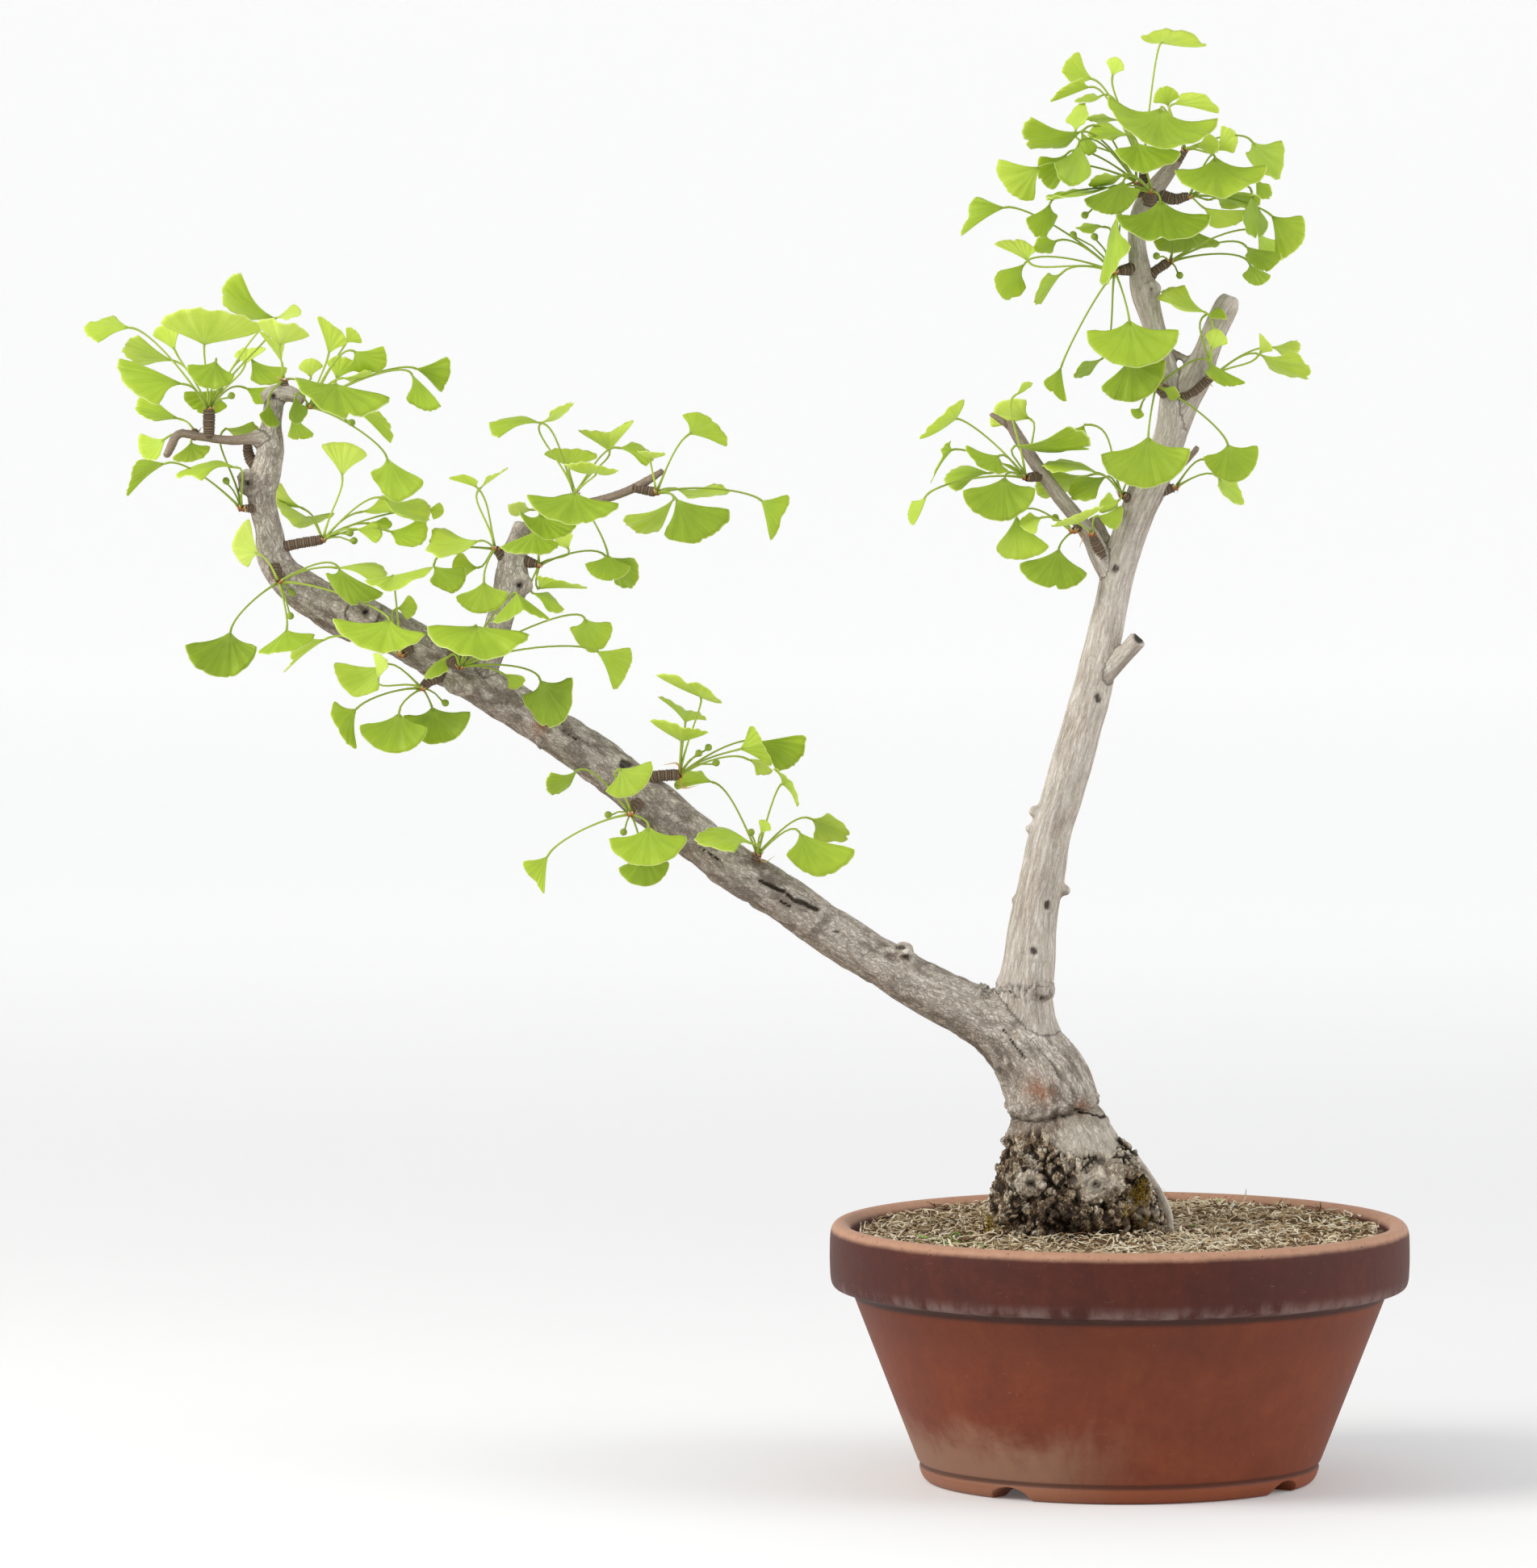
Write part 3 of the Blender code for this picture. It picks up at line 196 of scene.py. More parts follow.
def cracked(points, size, seed):
    """Pattern of cells as in dried mud: how far each point is inside its cell, from 0 on a border to about 1,
    a random value of the cell, and the way to the point from the cell's centre. Each cube of a lattice holds
    one randomly placed centre."""
    place = points / size
    cube = np.floor(place).astype(np.int64)
    near = np.full(len(points), 9.0)
    second = np.full(len(points), 9.0)
    own = np.zeros(len(points))
    way = np.zeros((len(points), 3))
    for step in np.ndindex(3, 3, 3):
        corner = cube + np.array(step) - 1
        centre = corner + 0.5 + 0.42 * np.stack([hashed(corner, seed + axis) for axis in range(3)], axis=-1)
        gap = np.linalg.norm(place - centre, axis=-1)
        closer = gap < near
        second = np.where(closer, near, np.minimum(second, gap))
        own = np.where(closer, hashed(corner, seed + 3), own)
        way = np.where(closer[:, None], place - centre, way)
        near = np.minimum(near, gap)
    return second - near, own, way


def smooth_step(value, low, high):
    """0 below the low mark, 1 above the high one, with an S-curve between them."""
    share = np.clip((value - low) / (high - low), 0.0, 1.0)
    return share * share * (3.0 - 2.0 * share)


def rounded_profile(corners, steps=3, share=0.25):
    """Profile with its corners cut back again and again, which ends in short smooth curves."""
    line = np.array(corners)
    for step in range(steps):
        ahead = line[1:] - line[:-1]
        length = np.maximum(np.linalg.norm(ahead, axis=1, keepdims=True), 1e-9)
        cut = np.minimum(share * length, 1.6 / (step + 1)) / length
        near = line[:-1] + ahead * cut
        far = line[1:] - ahead * cut
        line = np.concatenate((line[:1], np.stack((near, far), axis=1).reshape(-1, 2), line[-1:]))
    return line


class Value:
    """A number, colour or vector that changes over a surface. Arithmetic on it adds Math nodes."""

    def __init__(self, paint, socket):
        self.paint = paint
        self.socket = socket

    def math(self, operation, *others):
        operands = dict(enumerate((self,) + others))
        return self.paint.put("ShaderNodeMath", {"operation": operation}, operands)

    def __add__(self, other):
        return self.math("ADD", other)

    def __sub__(self, other):
        return self.math("SUBTRACT", other)

    def __mul__(self, other):
        return self.math("MULTIPLY", other)

    def __rsub__(self, other):
        return self.math("MULTIPLY", -1.0).math("ADD", other)

    __radd__ = __add__
    __rmul__ = __mul__

    def band(self, low, high, soft=True):
        """0 below the low mark, 1 above the high one (or the other way round when they are swapped)."""
        settings = {"interpolation_type": "SMOOTHSTEP" if soft else "LINEAR", "clamp": True}
        marks = {"Value": self, "From Min": low, "From Max": high, "To Min": 0.0, "To Max": 1.0}
        if low > high:
            marks.update({"From Min": high, "From Max": low, "To Min": 1.0, "To Max": 0.0})
        return self.paint.put("ShaderNodeMapRange", settings, marks)


class Paint:
    """A procedural material: put() adds any node, and the last calls link the results to the shader."""

    def __init__(self, name, **uniform):
        self.material = bpy.data.materials.new(name)
        self.material.use_nodes = True
        self.tree = self.material.node_tree
        self.shader = self.tree.nodes["Principled BSDF"]
        for key, value in uniform.items():
            self.shader.inputs[key.replace("_", " ").title().replace("Ior", "IOR")].default_value = value

    def put(self, kind, settings=None, inputs=None, output=0):
        """Add a node from its type, its settings and the values or links of its sockets."""
        node = self.tree.nodes.new(kind)
        for key, value in (settings or {}).items():
            if key == "stops":
                while len(node.color_ramp.elements) < len(value):
                    node.color_ramp.elements.new(0.5)
                for element, (position, colour) in zip(node.color_ramp.elements, value):
                    element.position = position
                    element.color = (*colour, 1.0)
            else:
                setattr(node, key, value)
        for key, value in (inputs or {}).items():
            if isinstance(value, Value):
                self.tree.links.new(value.socket, node.inputs[key])
            else:
                node.inputs[key].default_value = value
        return Value(self, node.outputs[output])

    def place(self):
        """Place on the piece in millimetres."""
        where = self.put("ShaderNodeTexCoord", output="Object")
        return self.put("ShaderNodeMapping", {}, {"Vector": where, "Scale": (1.0 / MM, 1.0 / MM, 1.0 / MM)})

    def value(self, name, output=2):
        """A value stored on the piece's points."""
        return self.put("ShaderNodeAttribute", {"attribute_name": name}, {}, output)

    def scaled(self, vector, stretch):
        """A vector multiplied along each axis."""
        return self.put("ShaderNodeVectorMath", {"operation": "MULTIPLY"}, {0: vector, 1: stretch})

    def parts(self, vector):
        """The three numbers of a vector."""
        node = self.put("ShaderNodeSeparateXYZ", {}, {"Vector": vector}).socket.node
        return [Value(self, socket) for socket in node.outputs]

    def noise(self, vector, size, detail=3.0, rough=0.55, warp=0.0):
        """Cloudy noise from 0 to 1 with features of a size in millimetres."""
        marks = {"Vector": vector, "Scale": 1.0 / size, "Detail": detail, "Roughness": rough,
                 "Distortion": warp}
        return self.put("ShaderNodeTexNoise", {}, marks)

    def warped(self, vector, size, amount):
        """A vector pushed about by cloudy noise with features of a size."""
        push = self.put("ShaderNodeTexNoise", {}, {"Vector": vector, "Scale": 1.0 / size, "Detail": 2.0}, 1)
        marks = {0: push, 1: (amount, amount, amount), 2: vector}
        return self.put("ShaderNodeVectorMath", {"operation": "MULTIPLY_ADD"}, marks)

    def lines(self, vector, size, width):
        """Thin wandering lines, 1 where noise with features of a size passes its middle."""
        return (self.noise(vector, size, 2.0, 0.5) - 0.5).math("ABSOLUTE").band(width, 0.0)

    def mix(self, share, first, second):
        """One colour over another by a share."""
        first = first if isinstance(first, Value) else (*first, 1.0)
        second = second if isinstance(second, Value) else (*second, 1.0)
        settings = {"data_type": "RGBA", "clamp_factor": True}
        return self.put("ShaderNodeMix", settings, {0: share, 6: first, 7: second}, 2)

    def ramp(self, share, stops):
        """Colour read from stops along a share."""
        return self.put("ShaderNodeValToRGB", {"stops": stops}, {0: share})

    def finish(self, colour=None, roughness=None, height=None, depth=1.0, strength=1.0):
        """Link what varies to the shader: colour, roughness, and height in millimetres as bump."""
        links = self.tree.links
        if colour is not None:
            links.new(colour.socket, self.shader.inputs["Base Color"])
        if roughness is not None:
            links.new(roughness.socket, self.shader.inputs["Roughness"])
        if height is not None:
            marks = {"Height": height, "Distance": depth * MM, "Strength": strength}
            links.new(self.put("ShaderNodeBump", {}, marks).socket, self.shader.inputs["Normal"])
        return self.material


def terracotta():
    """Red clay by height: worn foot, orange-brown wall with lime bloom, dark handled rim band hazy along
    its lower edge, and a sandy pitted lip; painted shadow below the rim band and painted shade in the groove
    above the foot."""
    paint = Paint("terracotta", specular_ior_level=0.28)
    where = paint.place()
    x, y, z = paint.parts(where)
    cloud = paint.noise(where, 38.0, 4.0, 0.6, 0.6)
    fine = paint.noise(where, 5.0, 5.0, 0.65)
    grit = paint.noise(where, 0.9, 3.0, 0.7)
    streak = paint.noise(paint.scaled(where, (1.0, 1.0, 0.3)), 8.0, 4.0, 0.6)
    rings = paint.noise(paint.scaled(where, (0.05, 0.05, 1.0)), 2.4, 3.0, 0.6)
    wall = paint.ramp(cloud * 0.6 + fine * 0.25 + streak * 0.15, (
        (0.25, (0.12, 0.024, 0.009)), (0.5, (0.175, 0.037, 0.013)), (0.75, (0.23, 0.057, 0.02))))
    band = paint.ramp(cloud * 0.5 + streak * 0.2 + fine * 0.3, (
        (0.25, (0.045, 0.008, 0.005)), (0.5, (0.07, 0.013, 0.007)), (0.8, (0.12, 0.026, 0.013))))
    wobble = (fine - 0.5) * 3.0 + (cloud - 0.5) * 5.0
    on_band = (z + wobble * 0.2).band(98.6, 100.6)
    colour = paint.mix(on_band, wall, band)
    # Painted shadow on the wall just below the overhanging rim band.
    shade = (z + wobble * 0.6).band(100.0, 84.0) * z.band(60.0, 96.0) * 0.5
    colour = paint.mix(shade, colour, (0.1, 0.024, 0.011))
    # Painted shadow line along the underside of the rim band's lower edge.
    colour = paint.mix(z.band(94.5, 97.5) * z.band(101.2, 99.6) * 0.8, colour, (0.02, 0.009, 0.007))
    haze = (z + wobble).band(109.0, 100.8) * on_band * (streak * 0.5 + cloud * 0.5).band(0.4, 0.6) * 0.5
    colour = paint.mix(haze, colour, (0.3, 0.22, 0.2))
    scratch = paint.noise(paint.scaled(where, (0.25, 0.25, 2.6)), 6.0, 4.0, 0.75).band(0.67, 0.74)
    colour = paint.mix(scratch * on_band * 0.3, colour, (0.36, 0.24, 0.2))
    lip = (z + wobble * 0.25).band(129.0, 132.4)
    colour = paint.mix(lip * (0.7 + fine * 0.4), colour, (0.52, 0.285, 0.18))
    left = (x * -1.0 + y * -0.25 + streak * 30.0).band(28.0, 95.0)
    bloom = left * (z + cloud * -46.0 + streak * -16.0).band(14.0, -12.0)
    colour = paint.mix(bloom * 0.55, colour, (0.32, 0.2, 0.13))
    foot = (z + wobble * 0.2).band(10.0, 6.5)
    colour = paint.mix(foot * 0.35, colour, (0.36, 0.11, 0.045))
    # Painted shade in the groove above the foot.
    groove = z.band(7.2, 8.6) * z.band(11.2, 9.8)
    colour = paint.mix(groove * 0.75, colour, (0.06, 0.02, 0.012))
    specks = paint.noise(where, 1.7, 2.0, 0.5).band(0.7, 0.76)
    colour = paint.mix(specks * 0.1, colour, (0.5, 0.36, 0.29))
    pits = paint.noise(where, 2.1, 2.0, 0.6).band(0.66, 0.74) * (z.band(127.0, 130.0) * 0.8 + 0.12)
    colour = paint.mix(pits, colour, (0.05, 0.022, 0.014))
    rough = 0.5 + cloud * 0.2 + haze * 0.2
    height = fine * 0.25 + grit * 0.1 + rings * 0.2 - pits * 0.7 - scratch * 0.05
    return paint.finish(colour, rough, height, depth=0.9, strength=0.55)


def build_pot():
    """Turned shape: the profile's points carried around the upright axis, with channels and holes cut out.
    The radius wavers by a fraction of a millimetre, as on a bowl thrown by hand."""
    profile = rounded_profile(POT_PROFILE)
    turn = np.linspace(0.0, 2.0 * math.pi, POT_COLUMNS, endpoint=False)
    radius, height = profile[:, 0][:, None], profile[:, 1][:, None]
    waver = 0.16 * np.sin(2 * turn + 0.7) + 0.1 * np.sin(5 * turn + 2.0)
    reach = radius + waver * np.minimum(radius / 60.0, 1.0) * (height > 6.0)
    grid = np.stack((reach * np.cos(turn), reach * np.sin(turn), height + 0.0 * turn), axis=-1)
    shape = Shape()
    shape.sheet(grid, around=True, ends="fan")
    pot = shape.piece("clay_bowl", terracotta(), ("pot",), "terracotta")
    cutters = []
    for degrees in NOTCH_ANGLES:
        angle = math.radians(degrees)
        way = np.array((math.sin(angle), -math.cos(angle), 0.0))
        for radius_x, radius_z, length, centre, tilt in (NOTCH, DRAIN_HOLE):
            bpy.ops.mesh.primitive_cylinder_add(
                vertices=48, radius=MM, depth=MM, location=way * centre * MM,
                rotation=(tilt, 0.0, angle), scale=(radius_x, radius_z, length))
            cutters.append(bpy.context.object)
    for cutter in cutters:
        modifier = pot.modifiers.new("cut", "BOOLEAN")
        modifier.operation = "DIFFERENCE"
        modifier.object = cutter
    graph = bpy.context.evaluated_depsgraph_get()
    mesh = bpy.data.meshes.new_from_object(pot.evaluated_get(graph), depsgraph=graph)
    pot.modifiers.clear()
    pot.data = mesh
    for cutter in cutters:
        bpy.data.objects.remove(cutter, do_unlink=True)


build_pot()


# The soil. Loose growing mix under a dry skin of shredded moss, filled almost to the lip and sloping up
# toward the back right. The stem foot goes down into it.
SOIL_LEVEL = 127.6
RISE_TO_RIGHT = 1.1
RISE_TO_BACK = 2.3
SOIL_REACH = 140.0


def soil_height(x, y):
    """Height of the surface: a gentle slope and mounds of a few millimetres, higher against the stem."""
    flat = np.stack((x, y, 0.0 * x), axis=-1)
    slope = SOIL_LEVEL + RISE_TO_RIGHT * (x / SOIL_REACH) + RISE_TO_BACK * (y / SOIL_REACH)
    near_stem = np.exp(-(((x + 18.0) / 52.0) ** 2 + (y / 45.0) ** 2) ** 2)
    return slope + 3.0 * near_stem + 1.2 * lattice_noise(flat, 26.0, 3) + 0.8 * lattice_noise(flat, 9.0, 4)


def growing_mix():
    """Dry brown soil with tan fibres, grey grains and a few green specks."""
    paint = Paint("growing_mix", roughness=0.95, specular_ior_level=0.15)
    where = paint.place()
    coarse = paint.noise(where, 7.0, 5.0, 0.7)
    fine = paint.noise(where, 1.6, 4.0, 0.75)
    colour = paint.ramp(coarse * 0.5 + fine * 0.5, (
        (0.3, (0.035, 0.02, 0.012)), (0.45, (0.11, 0.066, 0.036)), (0.56, (0.25, 0.165, 0.09)),
        (0.7, (0.42, 0.31, 0.19))))
    green = paint.noise(where, 11.0, 3.0, 0.6).band(0.62, 0.7) * fine.band(0.45, 0.6)
    colour = paint.mix(green * 0.5, colour, (0.12, 0.17, 0.035))
    return paint.finish(colour, None, coarse * 0.8 + fine * 0.6, depth=1.6, strength=0.9)


def build_soil():
    """Turned grid whose inner rows follow the height of the surface and whose outer rows go down the wall."""
    surface_rows = 96
    turn = np.linspace(0.0, 2.0 * math.pi, 260, endpoint=False)
    reach = np.concatenate((np.linspace(1.0, 137.0, surface_rows), (137.0, 130.0, 118.0, 95.0, 1.0)))
    x = reach[:, None] * np.cos(turn)
    y = reach[:, None] * np.sin(turn)
    z = soil_height(x, y)
    z[surface_rows:] = np.array((124.0, 108.0, 78.0, 18.0, 18.0))[:, None]
    shape = Shape()
    shape.sheet(np.stack((x, y, z), axis=-1), around=True, ends="fan")
    shape.piece("soil_body", growing_mix(), ("soil",), "growing_mix")


build_soil()


# The dry top layer. Shreds of old moss laid over the soil by hand, with grey grains among them.
# The shreds lie loose, and nothing fixes them but their weight.
SHRED_COUNT = 5200
GRAIN_COUNT = 420


def dry_moss():
    """Shreds by their own tint: dark brown, tan, straw or nearly white, and some green."""
    paint = Paint("dry_moss", roughness=0.9, specular_ior_level=0.15)
    tint = paint.value("tint")
    fine = paint.noise(paint.place(), 1.5, 3.0, 0.6)
    colour = paint.ramp(tint + (fine - 0.5) * 0.15, (
        (0.0, (0.12, 0.065, 0.032)), (0.2, (0.32, 0.205, 0.105)), (0.4, (0.6, 0.46, 0.28)),
        (0.7, (0.84, 0.74, 0.54)), (0.9, (0.88, 0.83, 0.7)), (0.95, (0.16, 0.32, 0.05)),
        (1.0, (0.26, 0.48, 0.08))))
    return paint.finish(colour, None, fine, depth=0.3, strength=0.5)


def soil_places(rng, count):
    """Random places on the soil inside the wall and clear of the stem."""
    angle = rng.uniform(0.0, 2.0 * math.pi, 2 * count)
    reach = 133.0 * np.sqrt(rng.uniform(0.0, 1.0, 2 * count))
    x, y = reach * np.cos(angle), reach * np.sin(angle)
    clear = np.hypot((x + 22.0) / 40.0, y / 33.0) > 1.0
    return x[clear][:count], y[clear][:count]


def build_litter():
    """Strands of three sides bent along flat arcs, each tilted a little and resting on the surface."""
    rng = np.random.default_rng(7)
    shape = Shape()
    x, y = soil_places(rng, SHRED_COUNT)
    count = len(x)
    length = np.clip(rng.gamma(3.2, 2.1, count), 3.0, 17.0)
    heading = rng.uniform(0.0, 2.0 * math.pi, count)
    bend = rng.uniform(-1.5, 1.5, count)
    t = np.linspace(-0.5, 0.5, 5)
    way = heading[:, None] + bend[:, None] * t
    step = (length / 4.0)[:, None]
    path_x = x[:, None] + np.cumsum(np.cos(way) * step, axis=1)
    path_y = y[:, None] + np.cumsum(np.sin(way) * step, axis=1)
    inward = np.minimum(1.0, 134.5 / np.hypot(path_x, path_y))
    path_x, path_y = path_x * inward, path_y * inward
    slant = rng.normal(0.0, 0.25, count)
    slant = slant + (rng.uniform(0.0, 1.0, count) < 0.06) * rng.uniform(0.5, 1.0, count)
    tilt = slant[:, None] * length[:, None] * t
    arch = rng.uniform(-0.6, 2.4, count)[:, None] * (0.25 - t * t) * 4.0
    lift = np.abs(tilt) * 0.6 + rng.uniform(0.2, 2.4, count)[:, None] + arch
    path_z = soil_height(path_x, path_y) + lift + np.maximum(tilt, 0.0) * 0.8
    middle = np.stack((path_x, path_y, path_z), axis=-1)
    across = np.stack((-np.sin(way), np.cos(way), 0.0 * way), axis=-1)
    up = np.broadcast_to(np.array((0.0, 0.0, 1.0)), across.shape)
    taper = np.array((0.35, 0.9, 1.0, 0.85, 0.3))
    width = rng.uniform(0.4, 0.95, count)[:, None] * taper
    dark_places = 0.5 + 0.5 * lattice_noise(np.stack((x, y, 0.0 * x), axis=-1), 30.0, 17)
    tint = np.clip(rng.beta(1.7, 1.2, count) * 0.95 - 0.2 * dark_places, 0.0, 0.89)
    mossy = np.exp(-(np.hypot(x + 88.0, y + 50.0) / 20.0) ** 2) * 0.4 + 0.01
    tint = np.where(rng.uniform(0.0, 1.0, count) < mossy * 0.5, rng.uniform(0.94, 1.0, count), tint)
    shape.strands(middle, across, up, width, width * rng.uniform(0.35, 0.8, count)[:, None], tint=tint)
    x, y = soil_places(rng, GRAIN_COUNT)
    count = len(x)
    size = rng.uniform(0.7, 2.0, count)[:, None]
    rise = size * np.array((-0.8, -0.3, 0.45, 0.85))
    z = soil_height(x, y)[:, None] + 0.8 + rise
    middle = np.stack((x[:, None] + 0.0 * rise, y[:, None] + 0.0 * rise, z), axis=-1)
    turn = rng.uniform(0.0, 3.0, count)[:, None] * np.ones(4)
    across = np.stack((np.cos(turn), np.sin(turn), 0.0 * turn), axis=-1)
    up = np.stack((-np.sin(turn), np.cos(turn), 0.0 * turn), axis=-1)
    width = size * rng.uniform(0.7, 1.1, (count, 4)) * np.array((0.6, 1.0, 0.95, 0.5))
    shape.strands(middle, across, up, width, width * 0.8, sides=6, tint=rng.uniform(0.15, 0.9, count))
    shape.piece("dry_moss_layer", dry_moss(), ("soil",), "growing_mix", outward=False)


build_litter()


# The living wood. A gnarled rootstock, and above the girdle line of the graft a long left trunk, an upright
# right trunk, branches, twigs and sawn stubs, all under pale furrowed bark that is browner underneath.
# Each limb is a list of points x, y, z and radius in millimetres.
LIMBS = (
    ("left_trunk", (
        (-31, 0, 118, 37), (-30, 0, 136, 36), (-29.5, 0, 150, 34.5), (-28, 0, 164, 32.5),
        (-31, 0, 178, 28.5), (-33.5, 0, 190, 24.5), (-37, 0, 203, 23.6), (-45.5, 0, 219, 21.2),
        (-58, 0, 233, 18.5), (-75, 0, 243, 14.6), (-100, 0, 255.5, 13.2), (-125, 1, 270, 12.6),
        (-150, 2, 285.5, 12.4), (-175, 3, 303, 12.2), (-200, 4, 318, 12.1), (-225, 4, 338, 12.2),
        (-247, 4, 355, 12.6), (-272, 4, 375, 12), (-300, 4, 394, 11.4), (-330, 4, 413, 11.4),
        (-350, 3, 425, 11.4), (-372, 3, 438, 11.6), (-396, 2, 448, 12.6), (-416, 2, 458, 10.8),
        (-431, 1, 469, 9.5), (-438, 1, 481, 8.6), (-440, 0, 495, 7.4), (-444, 0, 510, 7.6),
        (-441.5, 0, 522, 8), (-439, 0, 534, 7.2), (-438.5, 0, 548, 5.6), (-437, 0, 559, 5.4))),
    ("left_head", ((-443, 0, 561, 3.5), (-437, 0, 563.5, 5), (-429, 0, 564, 4.4), (-421.5, -1, 560, 3))),
    ("right_trunk", (
        (-45, 0, 214, 19.5), (-48.5, 0, 234, 17.4), (-49.5, 0, 248, 15.8), (-49, 0, 258, 14.8),
        (-47, 0, 272, 13.8), (-44, 0, 295, 12.3), (-39, 0, 320, 11.7), (-36, 0, 337, 11.2),
        (-31, 0, 352, 10.8), (-26, 0, 370, 10.9), (-20.5, 0, 390, 10.6), (-14.5, 0, 412, 10.2),
        (-8, 0, 440, 9.3), (-3.5, 0, 462, 8.8), (1.5, 0, 482, 8.8), (9, 0, 504, 9),
        (16, 0, 520, 9.4), (23, 0, 536, 8.4), (27, 0, 551, 8.6), (25, 0, 570, 5.8),
        (20, 0, 588, 5.5), (15, 0, 604, 6.4), (11.5, 0, 618, 7.4), (9.5, 0, 628, 6),
        (8, 0, 640, 4.8), (8, 0, 652, 4.4), (13, 0, 664, 5), (22, 0, 676, 4.4), (30, 0, 686, 2.6))),
    ("forked_stub", (
        (27, 0, 544, 7.5), (33, 0, 560, 7.6), (38, 0, 572, 8.6), (43, 0, 583, 7),
        (48, 0, 596, 6.4), (54.5, 0, 610, 6.3), (56.5, 0, 614.5, 4))),
    ("right_root", (
        (-2, -5, 175, 5), (5, -9, 170, 3.6), (10, -11, 166, 2.2), (18.5, -13, 154, 1.9),
        (24, -14, 143, 2.2), (26, -14, 134, 1.8), (26, -13, 120, 2.2))),
    ("left_root", ((-52, -6, 168, 9), (-60, -8, 150, 6.5), (-62, -8, 134, 6), (-61, -8, 120, 6))),
    ("side_branch_right", (
        (-3, 0, 466, 6), (-11, -2, 480, 5.5), (-15, -3, 489, 5), (-22, -4, 499, 4.3),
        (-31, -5, 510, 4), (-40, -6, 522, 3.8), (-47, -6, 532, 3.6), (-54, -7, 543, 3.2),
        (-58, -7, 550, 2.8))),
    ("side_branch_left", (
        (-333, 2, 414, 8), (-325, 0, 432, 8), (-320, -1, 450, 7.4), (-315, -2, 465, 8.8),
        (-314, -2, 478, 7.6), (-311, -2, 490, 5), (-309, -2, 498, 4.2))),
    ("left_long_twig", (
        (-314, -2, 478, 4), (-304, 0, 494, 2.8), (-290, 2, 503, 2.5),
        (-262, 1, 511, 2.4), (-248, 0, 517, 2.5), (-236, 0, 524.5, 1.8))),
    ("left_end_twig", (
        (-438, -2, 541, 4.2), (-448, -4, 541, 3.2), (-460, -4, 540, 2.5), (-475, -4, 542, 2.3),
        (-486, -4, 543.5, 2.4), (-490, -5, 537, 2.6), (-493, -5, 531, 2))),
    ("cut_branch", ((-14, -2, 412, 5), (-5, -6, 422, 5), (3, -9, 431, 4.8), (9, -11, 438, 4.9))),
    ("low_stub", ((-5, 3, 478, 4.5), (-10, 7, 490, 4), (-14, 8, 500, 3.6))),
    ("broken_twig", ((24, 0, 522, 2.6), (33, -3, 529, 2), (40, -4, 537, 1.8))),
    ("cross_twig", ((22, 0, 587, 2.4), (29, 0, 584, 2), (40, 0, 578, 2))),
    ("fork_tip", ((-56, -7, 546, 2), (-63, -7, 551, 1.8), (-68, -7, 554, 1.3))),
)

# Lumps of callus and healed cuts: x, y, z, then the radii along x, y, z
KNOTS = (
    (-13, -31, 157, 13, 6, 9), (-47, -30, 158, 10, 7, 9), (-34, -33, 143, 10, 7, 10),
    (-20, -33, 140, 10, 7, 8), (-53, -24, 143, 10, 8, 10), (-4, -27, 140, 9, 8, 9), (-2, -22, 166, 10, 8, 8),
    (-54, -7, 257, 8, 8, 4.5), (-43, -9, 255, 8, 7, 5), (-53.5, -2, 302, 3.2, 3, 3.2),
    (-28.5, -2, 307, 3, 3, 3), (-44, -3, 348, 3.6, 3, 3), (-47.5, -2, 339, 2.2, 2.2, 2.2),
    (-451, -3, 518, 4.4, 5, 6.5), (-112, -9, 276, 5, 5, 5), (-340, -6, 414, 10, 8, 6),
    (-388, -7, 451, 9, 6, 5.5), (-310.5, -9, 466, 6, 3.5, 6.5), (-300, -2, 384, 3, 3, 5),
    (15, -4, 618, 5, 5, 5), (-9, -5, 421, 7, 6, 6), (-445, -1, 541, 5, 5.5, 5),
    (6, -6, 162, 6, 8, 8), (4, -14, 146, 13, 12, 17), (12, -9, 138, 11, 11, 13),
)

# Healed wounds as seen from the front: x, z, reach, height of the rim, sink of the middle, darkness
WOUNDS = (
    (-12.5, 157.5, 12, 1.2, 0.3, 0.5), (-47.5, 158, 8, 0.5, 0.8, 0.7), (-390, 452, 8.5, 1.0, 2.2, 1.0),
    (-310.5, 465.5, 6.5, 1.2, 2.8, 1.0), (-451, 518, 7, 1.2, 1.4, 0.8), (-340, 416, 9, 0.8, 0.5, 0.2),
    (15, 618, 5, 0.8, 0.8, 0.6), (-437, 563, 6, 0.6, 1.0, 0.9), (-9, 421, 6, 0.5, 0.4, 0.3))
# Small dark scars: x, z, then half width and half height of the dark spot
SCARS = (
    (-13.5, 158, 1.3, 1.1), (-9, 155, 1.0, 0.7), (-114, 278, 2.6, 1.6), (-111, 273, 2.8, 1.9),
    (-147.5, 286, 2.6, 1.2), (-45, 277, 2.2, 2.6), (-12, 407, 2.2, 3.0), (-3, 474, 2.4, 3.0),
    (-255, 373, 5.0, 3.0), (-41, 252, 1.6, 1), (-57, 255, 1.1, 0.8), (-38, 300, 1.6, 2.4))
# Open cracks: start x, z, end x, z, half width
CRACKS = (
    (-186, 313, -174, 307, 1.3), (-172, 305, -169, 302, 1.1), (-167, 302, -157, 298, 1.5),
    (-176, 302, -171, 299, 0.6), (-61, 236, -50, 222, 0.7), (-25, 196, 2, 187, 0.8),
    (-219, 330, -207, 323, 0.5), (-292, 393, -281, 386, 0.5))
# Patches of rust-coloured bark: x, z, radius
RUST_PATCHES = ((-44, 206, 6), (-40, 203, 5), (-20, 196, 4), (-300, 392, 4))
# Height of the girdle line, where the graft meets the rootstock
GIRDLE = 190.0
